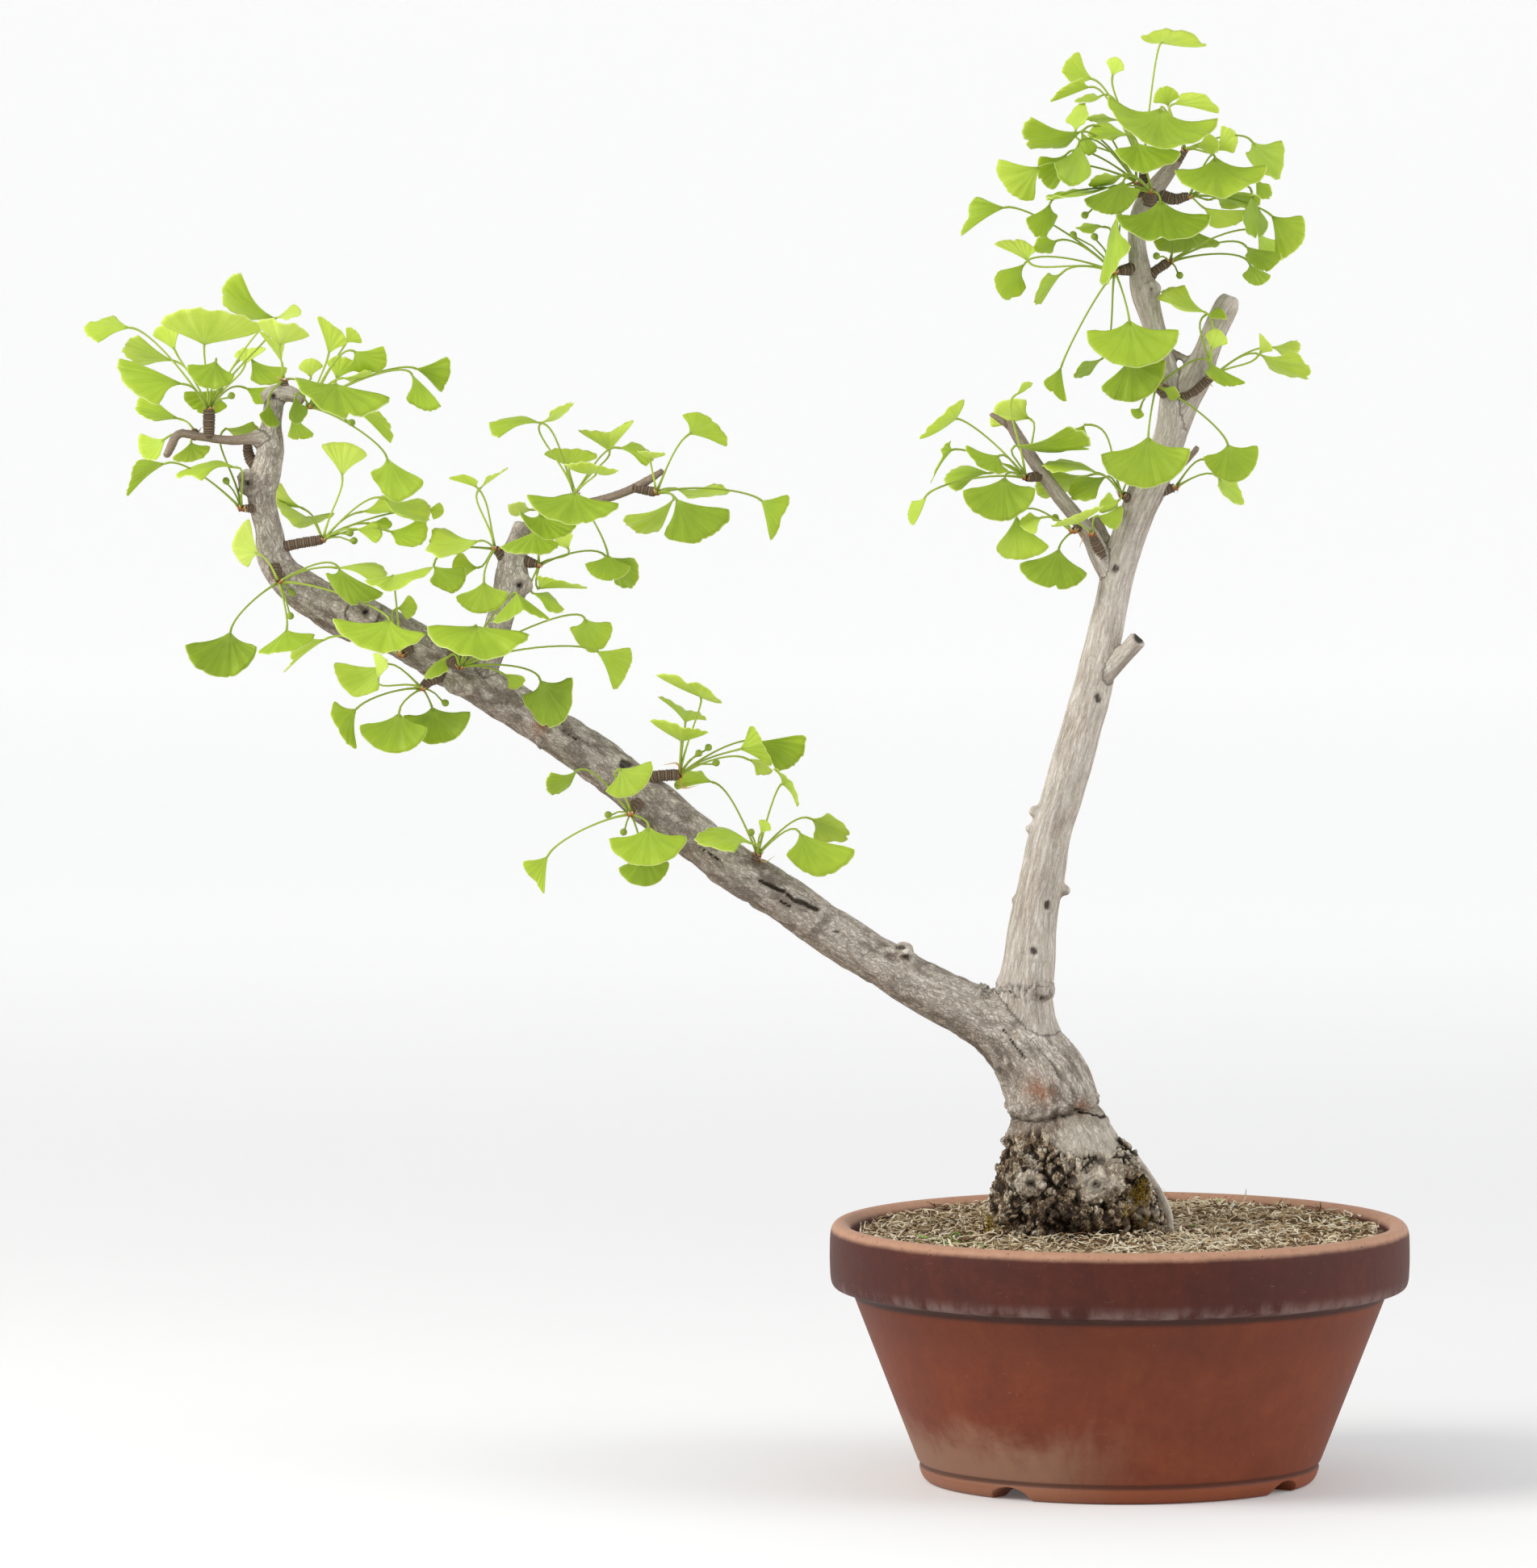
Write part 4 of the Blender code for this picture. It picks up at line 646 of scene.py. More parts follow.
# Pale sawn ends: x, z, radius
SAWN_ENDS = ((56, 616, 7), (-310, 500, 5))
LIMB_COLUMNS = 28
LIMB_STEP = 2.5


def smooth_line(points, spacing):
    """Cubic curve through given points, whose slope at each is that between its neighbours,
    read at about even steps."""
    points = np.array(points, dtype=float)
    slope = np.zeros_like(points)
    slope[1:-1] = (points[2:] - points[:-2]) / 2.0
    slope[0] = points[1] - points[0]
    slope[-1] = points[-1] - points[-2]
    rows = []
    for start in range(len(points) - 1):
        length = np.linalg.norm(points[start + 1, :3] - points[start, :3])
        t = np.linspace(0.0, 1.0, max(2, int(length / spacing) + 1), endpoint=False)[:, None]
        rows.append((2 * t ** 3 - 3 * t ** 2 + 1) * points[start] + (t ** 3 - 2 * t ** 2 + t) * slope[start]
                    + (3 * t ** 2 - 2 * t ** 3) * points[start + 1] + (t ** 3 - t ** 2) * slope[start + 1])
    rows.append(points[-1:])
    return np.concatenate(rows)


def frames_along(line):
    """Direction, side and up at each point of a line, turned as little as possible from point to point."""
    ahead = np.gradient(line, axis=0)
    ahead /= np.linalg.norm(ahead, axis=1, keepdims=True)
    side = np.zeros_like(ahead)
    guess = np.array((0.0, -1.0, 0.0)) if abs(ahead[0][1]) < 0.9 else np.array((1.0, 0.0, 0.0))
    for row, way in enumerate(ahead):
        guess = guess - np.dot(guess, way) * way
        guess /= np.linalg.norm(guess)
        side[row] = guess
    return ahead, side, np.cross(ahead, side)


def tube(line, radius, columns):
    """Profile carried along a path: circles of a radius at each point of a line."""
    side, up = frames_along(line)[1:]
    turn = np.linspace(0.0, 2.0 * math.pi, columns, endpoint=False)[None, :, None]
    ring = np.cos(turn) * side[:, None] + np.sin(turn) * up[:, None]
    reach = np.broadcast_to(np.asarray(radius, dtype=float).reshape(len(line), -1), (len(line), columns))
    return line[:, None] + reach[..., None] * ring


def along_limbs(points):
    """Place of each point on the nearest limb: around it, along it, the limb's radius there, how far the
    point is off its skin, how coarse its bark is, and which limb it is. The way around is in millimetres, and
    the way along is shortened, so that patterns read there come out long: most on the upright trunk, whose
    bark runs in lines."""
    best = np.full(len(points), 1e9)
    grain = np.zeros((len(points), 3))
    girth = np.zeros(len(points))
    coarse = np.zeros(len(points))
    nearest = np.zeros(len(points), dtype=int)
    for number, (name, limb) in enumerate(LIMBS):
        line = smooth_line(limb, 6.0)
        centre, radius = line[:, :3], line[:, 3]
        side, up = frames_along(centre)[1:]
        run = np.concatenate(((0.0,), np.cumsum(np.linalg.norm(np.diff(centre, axis=0), axis=1))))
        shorter, bark_coarse = (0.5, 1.0) if name in ("left_trunk", "side_branch_left") else (0.15, 0.3)
        for start in range(len(centre) - 1):
            middle = (centre[start] + centre[start + 1]) / 2
            span = centre[start + 1] - centre[start]
            close = np.flatnonzero(np.abs(points - middle).max(axis=1) < radius[start] + 25.0)
            away = points[close] - centre[start]
            share = np.clip(away @ span / np.dot(span, span), 0.0, 1.0)
            away = away - share[:, None] * span
            thick = radius[start] * (1 - share) + radius[start + 1] * share
            gap = np.linalg.norm(away, axis=1) - thick
            closer = gap < best[close]
            across = np.stack((away @ side[start], away @ up[start]), axis=-1)
            across /= np.maximum(np.linalg.norm(across, axis=1, keepdims=True), 1e-6)
            along = shorter * (run[start] + share * np.linalg.norm(span))
            place = np.column_stack((across * thick[:, None] + (150.0 * number, 0.0), along))
            chosen = close[closer]
            best[chosen] = gap[closer]
            grain[chosen] = place[closer]
            girth[chosen] = thick[closer]
            coarse[chosen] = bark_coarse
            nearest[chosen] = number
    return grain, girth, best, coarse, nearest


def girdle_height(x):
    """Height of the line where the trunk's bark ends over the foot, higher on the right."""
    return 191.0 + 6.0 * smooth_step(x, -36.0, -8.0) + 1.2 * np.sin(x / 6.0)


def bark():
    """Bark by what is stored on it: cream weathered ridges between thin brown creases, a brown underside,
    flakes on the foot, black cracks and wound edges, reddish young twigs, rust stains and golden moss, and
    painted shadow as a dark line and a brown band under the trunk's bark edge at the girdle line."""
    paint = Paint("bark", specular_ior_level=0.12)
    where = paint.place()
    grain = paint.value("grain", 1)
    crease, dark, under = paint.value("crease"), paint.value("dark"), paint.value("under")
    young, rust, pale, moss = (paint.value(name) for name in ("young", "rust", "pale", "moss"))
    foot, coarse, flake = paint.value("foot"), paint.value("coarse"), paint.value("flake")
    bent = paint.warped(grain, 4.0, 3.0)
    long_line = paint.lines(bent, 2.9, 0.07)
    short_line = paint.lines(bent, 1.5, 0.09)
    streak = paint.noise(paint.scaled(grain, (0.5, 0.5, 0.35)), 1.0, 5.0, 0.65, 0.6)
    cloud = paint.noise(where, 24.0, 4.0, 0.6)
    fine = paint.noise(where, 1.2, 4.0, 0.7)
    groove = (long_line * (0.3 + coarse * 0.5)).math("MAXIMUM", short_line * (0.2 + coarse * 0.35))
    colour = paint.ramp(streak * 0.55 + fine * 0.25 + cloud * 0.2, (
        (0.32, (0.33, 0.265, 0.205)), (0.44, (0.53, 0.46, 0.385)), (0.55, (0.71, 0.655, 0.575)),
        (0.68, (0.84, 0.8, 0.725))))
    colour = paint.mix(groove * (0.55 + fine * 0.35), colour, (0.15, 0.105, 0.072))
    # Browner underside, and painted shadow in a band below the trunk's bark edge at the girdle line, both
    # from the stored under value.
    brown = (cloud * 0.35 + under * 1.15 + streak * 0.2 - 0.1).band(0.5, 1.15)
    colour = paint.mix(brown * 0.6, colour, paint.mix(groove, (0.27, 0.195, 0.13), (0.07, 0.045, 0.03)))
    grey = paint.noise(where, 11.0, 3.0, 0.6, 0.5).band(0.58, 0.7)
    colour = paint.mix(grey * 0.22, colour, (0.27, 0.25, 0.215))
    colour = paint.mix(crease * (1.05 - fine * 0.6), colour, (0.1, 0.068, 0.046))
    torn = paint.noise(paint.scaled(where, (1.0, 1.0, 0.6)), 2.4, 5.0, 0.7, 1.6)
    chips = paint.ramp(flake * 0.34 + torn * 0.62 + fine * 0.12 - 0.04, (
        (0.4, (0.036, 0.018, 0.008)), (0.46, (0.2, 0.12, 0.06)), (0.53, (0.56, 0.42, 0.26)),
        (0.62, (0.9, 0.81, 0.65))))
    cleft = paint.lines(paint.warped(paint.scaled(where, (1.0, 1.0, 0.55)), 3.2, 2.6), 2.4, 0.1)
    chips = paint.mix(cleft * 0.8, chips, (0.04, 0.021, 0.011))
    colour = paint.mix(foot * 0.92, colour, chips)
    colour = paint.mix(young * 0.75, colour, paint.mix(fine, (0.12, 0.07, 0.045), (0.36, 0.26, 0.18)))
    colour = paint.mix(pale * (0.45 + fine * 0.4), colour, (0.76, 0.7, 0.58))
    colour = paint.mix(rust * fine.band(0.32, 0.58) * 0.75, colour, (0.36, 0.12, 0.04))
    colour = paint.mix(moss * paint.noise(where, 3.0, 4.0, 0.7).band(0.38, 0.52), colour,
                       paint.mix(fine, (0.12, 0.07, 0.01), (0.5, 0.31, 0.05)))
    # Black from the stored dark value, which also holds the painted shadow line along the girdle.
    black = (dark * 1.2 + (fine - 0.5) * dark * 0.7).band(0.15, 0.9) * 0.93
    colour = paint.mix(black, colour, (0.022, 0.015, 0.01))
    height = streak * 0.8 + fine * 0.35 - groove * 0.7 - dark * 0.2 + torn * foot * 1.2
    return paint.finish(colour, 0.8 + fine * 0.18, height, depth=1.0, strength=0.85)


def evened(mesh, values, group, steps=14):
    """Values on a mesh's points averaged again and again with those of neighbours in the same group."""
    ends = np.empty(len(mesh.edges) * 2, dtype=np.int64)
    mesh.edges.foreach_get("vertices", ends)
    first, second = ends.reshape(-1, 2).T
    same = group[first] == group[second]
    first, second = first[same], second[same]
    near = 1.0 + np.bincount(first, minlength=len(values)) + np.bincount(second, minlength=len(values))
    for step in range(steps):
        total = values.copy()
        for axis in range(values.shape[1]):
            total[:, axis] += np.bincount(first, values[second, axis], len(values))
            total[:, axis] += np.bincount(second, values[first, axis], len(values))
        values = total / near[:, None]
    return values


def read_vectors(items, field):
    """A vector of each point of a mesh, as rows of three numbers."""
    flat = np.empty(len(items) * 3)
    items.foreach_get(field, flat)
    return flat.reshape(-1, 3)


def bark_relief(mesh):
    """Move the smooth wood along its normals: creases that run along each limb, chips and crevices below the
    girdle line, and rims and sunk middles on wounds. The same sums are stored for the bark's colour, with a
    painted shadow along and below the girdle line."""
    co = read_vectors(mesh.vertices, "co") / MM
    normal = read_vectors(mesh.vertex_normals, "vector")
    grain, girth, gap, coarse, limb = along_limbs(co)
    grain = evened(mesh, grain, limb)
    girth, coarse = evened(mesh, np.column_stack((girth, coarse)), 0 * limb, 24).T
    x, y, z = co.T
    front = smooth_step(-y, -1.0, 3.0)
    rough = lattice_noise(co, 12.0, 2)
    patchy = 0.5 + 0.5 * lattice_noise(co, 19.0, 8)

    # Wavy ridges with creases between them, coarser on the long trunk and finer on the upright one
    warp = np.stack([lattice_noise(grain, 4.5, seed) for seed in (21, 22, 23)], axis=-1)
    hills = lattice_noise(grain + 2.4 * warp, 3.3, 5)
    crease = 1.0 - smooth_step(hills + 0.25, 0.0, 0.3)
    size = np.clip(girth * 0.05, 0.05, 1.0) * (0.3 + 0.7 * coarse)
    lift = size * (0.8 * hills - 0.9 * crease * (0.4 + 0.6 * patchy))
    lift += np.clip(girth * 0.035, 0.0, 0.6) * lattice_noise(co, 11.0, 12)

    # Flakes and crevices of the foot: from the girdle down on the left, lower down on the right
    top = 187.0 - 9.0 * smooth_step(x, -46.0, -24.0) + 6.0 * smooth_step(x, -8.0, 4.0) + 4.0 * rough
    root = (girth < 3.0) & (gap < 0.8) & (x > 5.0) & (z < 170.0)
    foot = smooth_step(top - z, 0.0, 8.0) * (z < 200.0) * (1.0 - root)
    callus = np.clip(np.exp(-(np.hypot((x + 12.5) / 10.5, (z - 157.5) / 8.0)) ** 6)
                     + 0.6 * np.exp(-(np.hypot(x + 47.5, z - 158.0) / 8.0) ** 6), 0.0, 1.0) * front
    shift = np.stack([lattice_noise(co, 8.0, seed) for seed in (31, 35, 36)], axis=-1)
    inside, own, way = cracked((co + 3.4 * shift) * np.array((1.0, 1.0, 0.8)), 5.6, 32)
    small, own_small, way_small = cracked((co + 1.6 * shift) * np.array((1.0, 1.0, 0.7)), 2.7, 33)
    turned = (co + 2.2 * shift) @ np.array(((0.82, 0.31, -0.48), (-0.42, 0.9, -0.13), (0.39, 0.31, 0.87)))
    fold = 1.0 - np.abs(lattice_noise(turned * np.array((1.0, 1.0, 0.7)), 6.0, 38)) * 2.2
    small_fold = 1.0 - np.abs(lattice_noise(turned * np.array((1.0, 1.0, 0.6)), 2.9, 39)) * 2.2
    crumple = np.clip(0.6 * fold + 0.4 * small_fold, -1.0, 1.0)
    crag = 1.0 - smooth_step(inside, 0.0, 0.26)
    chip = 1.0 - smooth_step(small, 0.0, 0.25)
    pocket = np.clip(0.5 + 0.9 * lattice_noise(co, 9.0, 37), 0.0, 1.0)
    chipped = foot * (1.0 - 0.8 * callus)
    lift += chipped * (0.8 * own + 3.0 * own * way[:, 2] - 2.0 * crag * pocket + 0.5 * own_small
                       + 1.1 * crumple + 2.0 * own_small * way_small[:, 2] - 0.8 * chip + 0.4)
    gloom = 0.55 * np.exp(-np.hypot((x + 22.0) / 20.0, (z - 136.0) / 14.0) ** 4)
    hollow = smooth_step(0.15 - crumple, 0.0, 0.6)
    dark = chipped * np.clip(crag ** 1.3 * (0.35 + 0.9 * pocket) + 0.5 * chip * (pocket + gloom)
                             + hollow * (0.3 + 0.4 * pocket + gloom) - 0.12, 0.0, 1.0)
    flake = 0.46 + 0.3 * own_small + 0.22 * own + 0.15 * crumple + 0.2 * callus - 0.6 * gloom

    # Swollen edge of the trunk's bark over the foot with a painted shadow line under it, and the rough collar
    # where the upright trunk leaves the long one
    trunk = girth > 12.0
    above = z - girdle_height(x) - lattice_noise(co, 7.0, 41)
    swollen = 1.3 * own_small * np.exp(-((above - 3.0) / 3.0) ** 2)
    lift += trunk * (swollen - 0.8 * np.exp(-((above + 1.0) / 1.6) ** 2))
    # Painted shadow: a dark line under the overhanging edge of the trunk's bark.
    dark = np.maximum(dark, (0.25 + 0.4 * patchy) * np.exp(-((above + 1.0) / 1.7) ** 2) * trunk)
    collar = np.exp(-((z - 257.0 - 2.0 * rough) / 5.5) ** 4) * (np.abs(x + 49.0) < 24.0)
    lift += collar * (0.8 + 0.9 * own_small - 1.2 * chip)
    dark = np.maximum(dark, collar * np.clip(0.45 * chip + 0.1 + 0.2 * own_small, 0.0, 0.45))

    # Wounds with a rim and a sunk dark middle, small scars, open cracks and patches of rust
    pale = np.zeros(len(co))
    for mark_x, mark_z, reach, rim, sink, shade in WOUNDS:
        across = np.hypot(x - mark_x, (z - mark_z) * 1.15) / reach
        across = across + 0.16 * lattice_noise(co, reach * 0.8, 51)
        across = across + 0.07 * lattice_noise(co, reach * 0.3, 52)
        ring = np.exp(-((across - 0.78) / 0.24) ** 2) * front
        middle = np.exp(-(np.maximum(across, 0.0) / 0.34) ** 2.5) * front
        ripple = np.cos(across * 24.0) * np.exp(-(np.maximum(across, 0.0) / 0.85) ** 4) * front
        lift += rim * ring * (1.0 + 0.5 * warp[:, 1]) - sink * middle + 0.4 * rim * ripple
        dark = np.maximum(dark * (1.0 - 0.6 * ring), shade * middle)
        dark = np.maximum(dark, 0.4 * shade * np.maximum(-ripple, 0.0) * (across > 0.3))
        dark = np.maximum(dark, shade * 0.8 * patchy * np.exp(-((across - 1.08) / 0.12) ** 2) * front)
        pale = np.maximum(pale, 0.2 * ring)
    for mark_x, mark_z, half_width, half_height in SCARS:
        across = np.hypot((x - mark_x) / half_width, (z - mark_z) / half_height)
        across = across + 0.45 * lattice_noise(co, 2.6, 53)
        spot = smooth_step(1.15 - across, 0.0, 0.5) * front
        lift += 0.6 * np.exp(-((across - 1.35) / 0.35) ** 2) * front - spot
        dark = np.maximum(dark, 0.62 * spot)
        pale = np.maximum(pale, 0.5 * np.exp(-((across - 1.5) / 0.3) ** 2) * front)
    jitter = 1.1 * lattice_noise(co, 4.0, 61)
    for start_x, start_z, end_x, end_z, half_width in CRACKS:
        line = np.array((end_x - start_x, end_z - start_z), dtype=float)
        share = np.clip(((x - start_x) * line[0] + (z - start_z) * line[1]) / np.dot(line, line), 0.0, 1.0)
        off = np.hypot(x - start_x - share * line[0], z - start_z - share * line[1] + jitter)
        crack = np.exp(-(off / half_width) ** 2) * front
        lift -= 1.2 * crack
        dark = np.maximum(dark, crack)
    rust = np.zeros(len(co))
    for mark_x, mark_z, reach in RUST_PATCHES:
        rust = np.maximum(rust, np.exp(-(np.hypot(x - mark_x, z - mark_z) / reach) ** 2) * front)

    # Reddish young twigs, golden moss, wood that is paler or darker where it was cut or rubbed, a browner
    # underside, and painted shadow in a brown band under the trunk's bark edge at the girdle line
    young = np.clip((4.6 - girth) / 1.8, 0.0, 1.0) * (z > 400.0)
    gap_side = np.exp(-(np.hypot((x - 11.0) / 11.0, (z - 147.0) / 14.0)) ** 4) * (1.0 - root)
    left_side = np.exp(-((x + 68.0) / 6.0) ** 2) * np.clip((142.0 - z) / 8.0, 0.0, 1.0)
    moss = np.clip(1.3 * gap_side * (0.5 + 0.8 * lattice_noise(co, 7.0, 45)) + left_side, 0.0, 1.0)
    pale = np.maximum(pale, (0.35 + 0.3 * own_small) * root)
    pale = np.maximum(pale, 0.5 * callus)
    foot = foot * (1.0 - 0.5 * callus)
    pale = np.maximum(pale, 0.7 * np.exp(-np.hypot((x - 13.0) / 5.0, (z - 139.0) / 4.5) ** 4) * front)
    for mark_x, mark_z, reach in SAWN_ENDS:
        pale = np.maximum(pale, 0.7 * np.exp(-(np.hypot(x - mark_x, z - mark_z) / reach) ** 4))
    shoulder = 0.45 * smooth_step(x, -34.0, -24.0) * smooth_step(z, 160.0, 168.0) * (above < 0.0) * front
    pale = np.maximum(pale, shoulder)
    dark = np.maximum(dark, 0.85 * np.exp(-(np.hypot(x - 9.5, z - 439.0) / 3.6) ** 4))
    under = np.clip(0.25 - 0.85 * normal[:, 2], 0.0, 1.0)
    # Painted shadow: a brown band below the trunk's overhanging bark edge, kept with the browner underside.
    under += (0.75 + 0.5 * patchy) * np.exp(-((above + 4.0) / 5.0) ** 2) * trunk
    co += lift[:, None] * normal
    mesh.vertices.foreach_set("co", (co * MM).astype(np.float32).ravel())
    stored = {"crease": crease * patchy * coarse * (1.0 - foot), "dark": dark, "under": under, "foot": foot,
              "young": young, "rust": rust, "pale": pale, "moss": moss, "coarse": coarse, "flake": flake,
              "grain": grain}
    for name, value in stored.items():
        store(mesh, name, value)
    mesh.update()


def lumpy_tube(line):
    """Tube along a smooth line of x, y, z and radius, a little lumpy."""
    plain = line[:, 3:4] * np.ones(LIMB_COLUMNS)
    lumps = lattice_noise(tube(line[:, :3], plain, LIMB_COLUMNS), 22.0, 71)
    return tube(line[:, :3], plain * (1.0 + 0.05 * lumps), LIMB_COLUMNS)


def add_knot(shape, knot):
    """Ball with its own radius along each axis."""
    x, y, z, radius_x, radius_y, radius_z = knot
    turn = np.linspace(0.0, 2.0 * math.pi, 24, endpoint=False)
    rise = np.linspace(-1.45, 1.45, 12)[:, None]
    ball = np.stack((x + radius_x * np.cos(rise) * np.cos(turn), y + radius_y * np.cos(rise) * np.sin(turn),
                     z + radius_z * np.sin(rise) + 0.0 * turn), axis=-1)
    shape.sheet(ball, around=True, ends="fan")


def grow_together(shape, name, material, voxel):
    """Join the closed parts of a shape into one skin by a voxel remesh, ease it, and give it relief."""
    wood = shape.piece(name, material, ("tree_wood",), "bark")
    remesh = wood.modifiers.new("grow_together", "REMESH")
    remesh.mode = "VOXEL"
    remesh.voxel_size = voxel * MM
    ease = wood.modifiers.new("ease", "SMOOTH")
    ease.factor = 0.5
    ease.iterations = 4
    graph = bpy.context.evaluated_depsgraph_get()
    mesh = bpy.data.meshes.new_from_object(wood.evaluated_get(graph), depsgraph=graph)
    wood.modifiers.clear()
    wood.data = mesh
    bark_relief(mesh)
    mesh.polygons.foreach_set("use_smooth", np.ones(len(mesh.polygons), dtype=bool))
    if not mesh.materials:
        mesh.materials.append(material)


def build_rootstock(material):
    """The foot under the girdle line: stem base, two surface roots and lumps on a buried oval stump."""
    shape = Shape()
    limbs = dict(LIMBS)
    stem = smooth_line(limbs["left_trunk"], LIMB_STEP)
    stem = stem[stem[:, 2] < 200.0]
    stem[:, 3] -= 2.5 * smooth_step(stem[:, 2], 184.0, 198.0)
    roots = [smooth_line(limbs[name], LIMB_STEP) for name in ("right_root", "left_root")]
    for line in (stem, *roots):
        shape.sheet(lumpy_tube(line), around=True, ends="fan")
    for knot in KNOTS:
        if knot[2] < GIRDLE:
            add_knot(shape, knot)
    turn = np.linspace(0.0, 2.0 * math.pi, 24, endpoint=False)
    drop = np.linspace(112.0, 128.0, 5)[:, None]
    stump_x = -21.0 + 47.0 * np.cos(turn) + 0.0 * drop
    stump_y = 39.0 * np.sin(turn) + 0.0 * drop
    stump = np.stack((stump_x, stump_y, drop + 0.0 * turn), axis=-1)
    shape.sheet(stump, around=True, ends="fan")
    grow_together(shape, "rootstock", material, voxel=0.9)


def build_branches(material):
    """Everything above the girdle line. The trunk's lowest ring follows the line around the foot."""
    shape = Shape()
    for name, limb in LIMBS:
        if "root" in name:
            continue
        line = smooth_line(limb, LIMB_STEP)
        if name == "left_trunk":
            line = line[line[:, 2] > GIRDLE]
        body = lumpy_tube(line)
        if name == "left_trunk":
            share = np.clip(1.0 - LIMB_STEP * np.arange(len(line)) / 25.0, 0.0, 1.0)[:, None]
            body[..., 2] += share * (girdle_height(body[0, :, 0]) - 2.0 - body[0, :, 2])
        shape.sheet(body, around=True, ends="fan")
    for knot in KNOTS:
        if knot[2] > GIRDLE:
            add_knot(shape, knot)
    grow_together(shape, "bark_and_wood", material, voxel=1.2)


bark_paint = bark()
build_rootstock(bark_paint)
build_branches(bark_paint)


# The moss on the rootstock. Dry golden moss that has grown on the bark of the foot by itself, thickest beside
# the right root and on the left edge, held by its own rhizoids.
def golden_moss():
    """Dry golden-brown moss, greener in places."""
    paint = Paint("golden_moss", roughness=0.9, specular_ior_level=0.15)
    cloud = paint.noise(paint.place(), 5.0, 3.0, 0.6)
    colour = paint.mix(paint.value("tint"), (0.13, 0.07, 0.008), (0.5, 0.32, 0.045))
    colour = paint.mix(cloud.band(0.5, 0.65) * 0.4, colour, (0.2, 0.24, 0.03))
    return paint.finish(colour)


def build_moss():
    """Short strands that stand on the rootstock wherever its moss value is high, leaning at random."""
    most_strands = 1500
    rng = np.random.default_rng(13)
    mesh = bpy.data.objects["rootstock"].data
    moss = np.empty(len(mesh.vertices))
    mesh.attributes["moss"].data.foreach_get("value", moss)
    places = np.flatnonzero(rng.uniform(0.35, 1.0, len(moss)) < moss)
    places = rng.permutation(places)[:most_strands]
    root = read_vectors(mesh.vertices, "co")[places] / MM
    lean = read_vectors(mesh.vertex_normals, "vector")[places] + rng.normal(0.0, 0.55, (len(places), 3))
    lean = lean + np.array((0.0, 0.0, 0.4))
    lean /= np.linalg.norm(lean, axis=1, keepdims=True)
    across = np.cross(lean, np.array((0.31, -0.83, 0.46)))
    across /= np.linalg.norm(across, axis=1, keepdims=True)
    length = rng.uniform(0.8, 2.6, len(places))[:, None, None]
    middle = root[:, None] + lean[:, None] * length * np.array((-0.3, 0.5, 1.0))[:, None]
    across = np.repeat(across[:, None], 3, axis=1)
    up = np.cross(across, np.repeat(lean[:, None], 3, axis=1))
    width = rng.uniform(0.25, 0.5, len(places))[:, None] * np.array((1.0, 0.8, 0.15))
    shape = Shape()
    shape.strands(middle, across, up, width, width, tint=rng.uniform(0.0, 1.0, len(places)))
    shape.piece("moss_on_rootstock", golden_moss(), ("tree_wood",), "bark", outward=False)


build_moss()


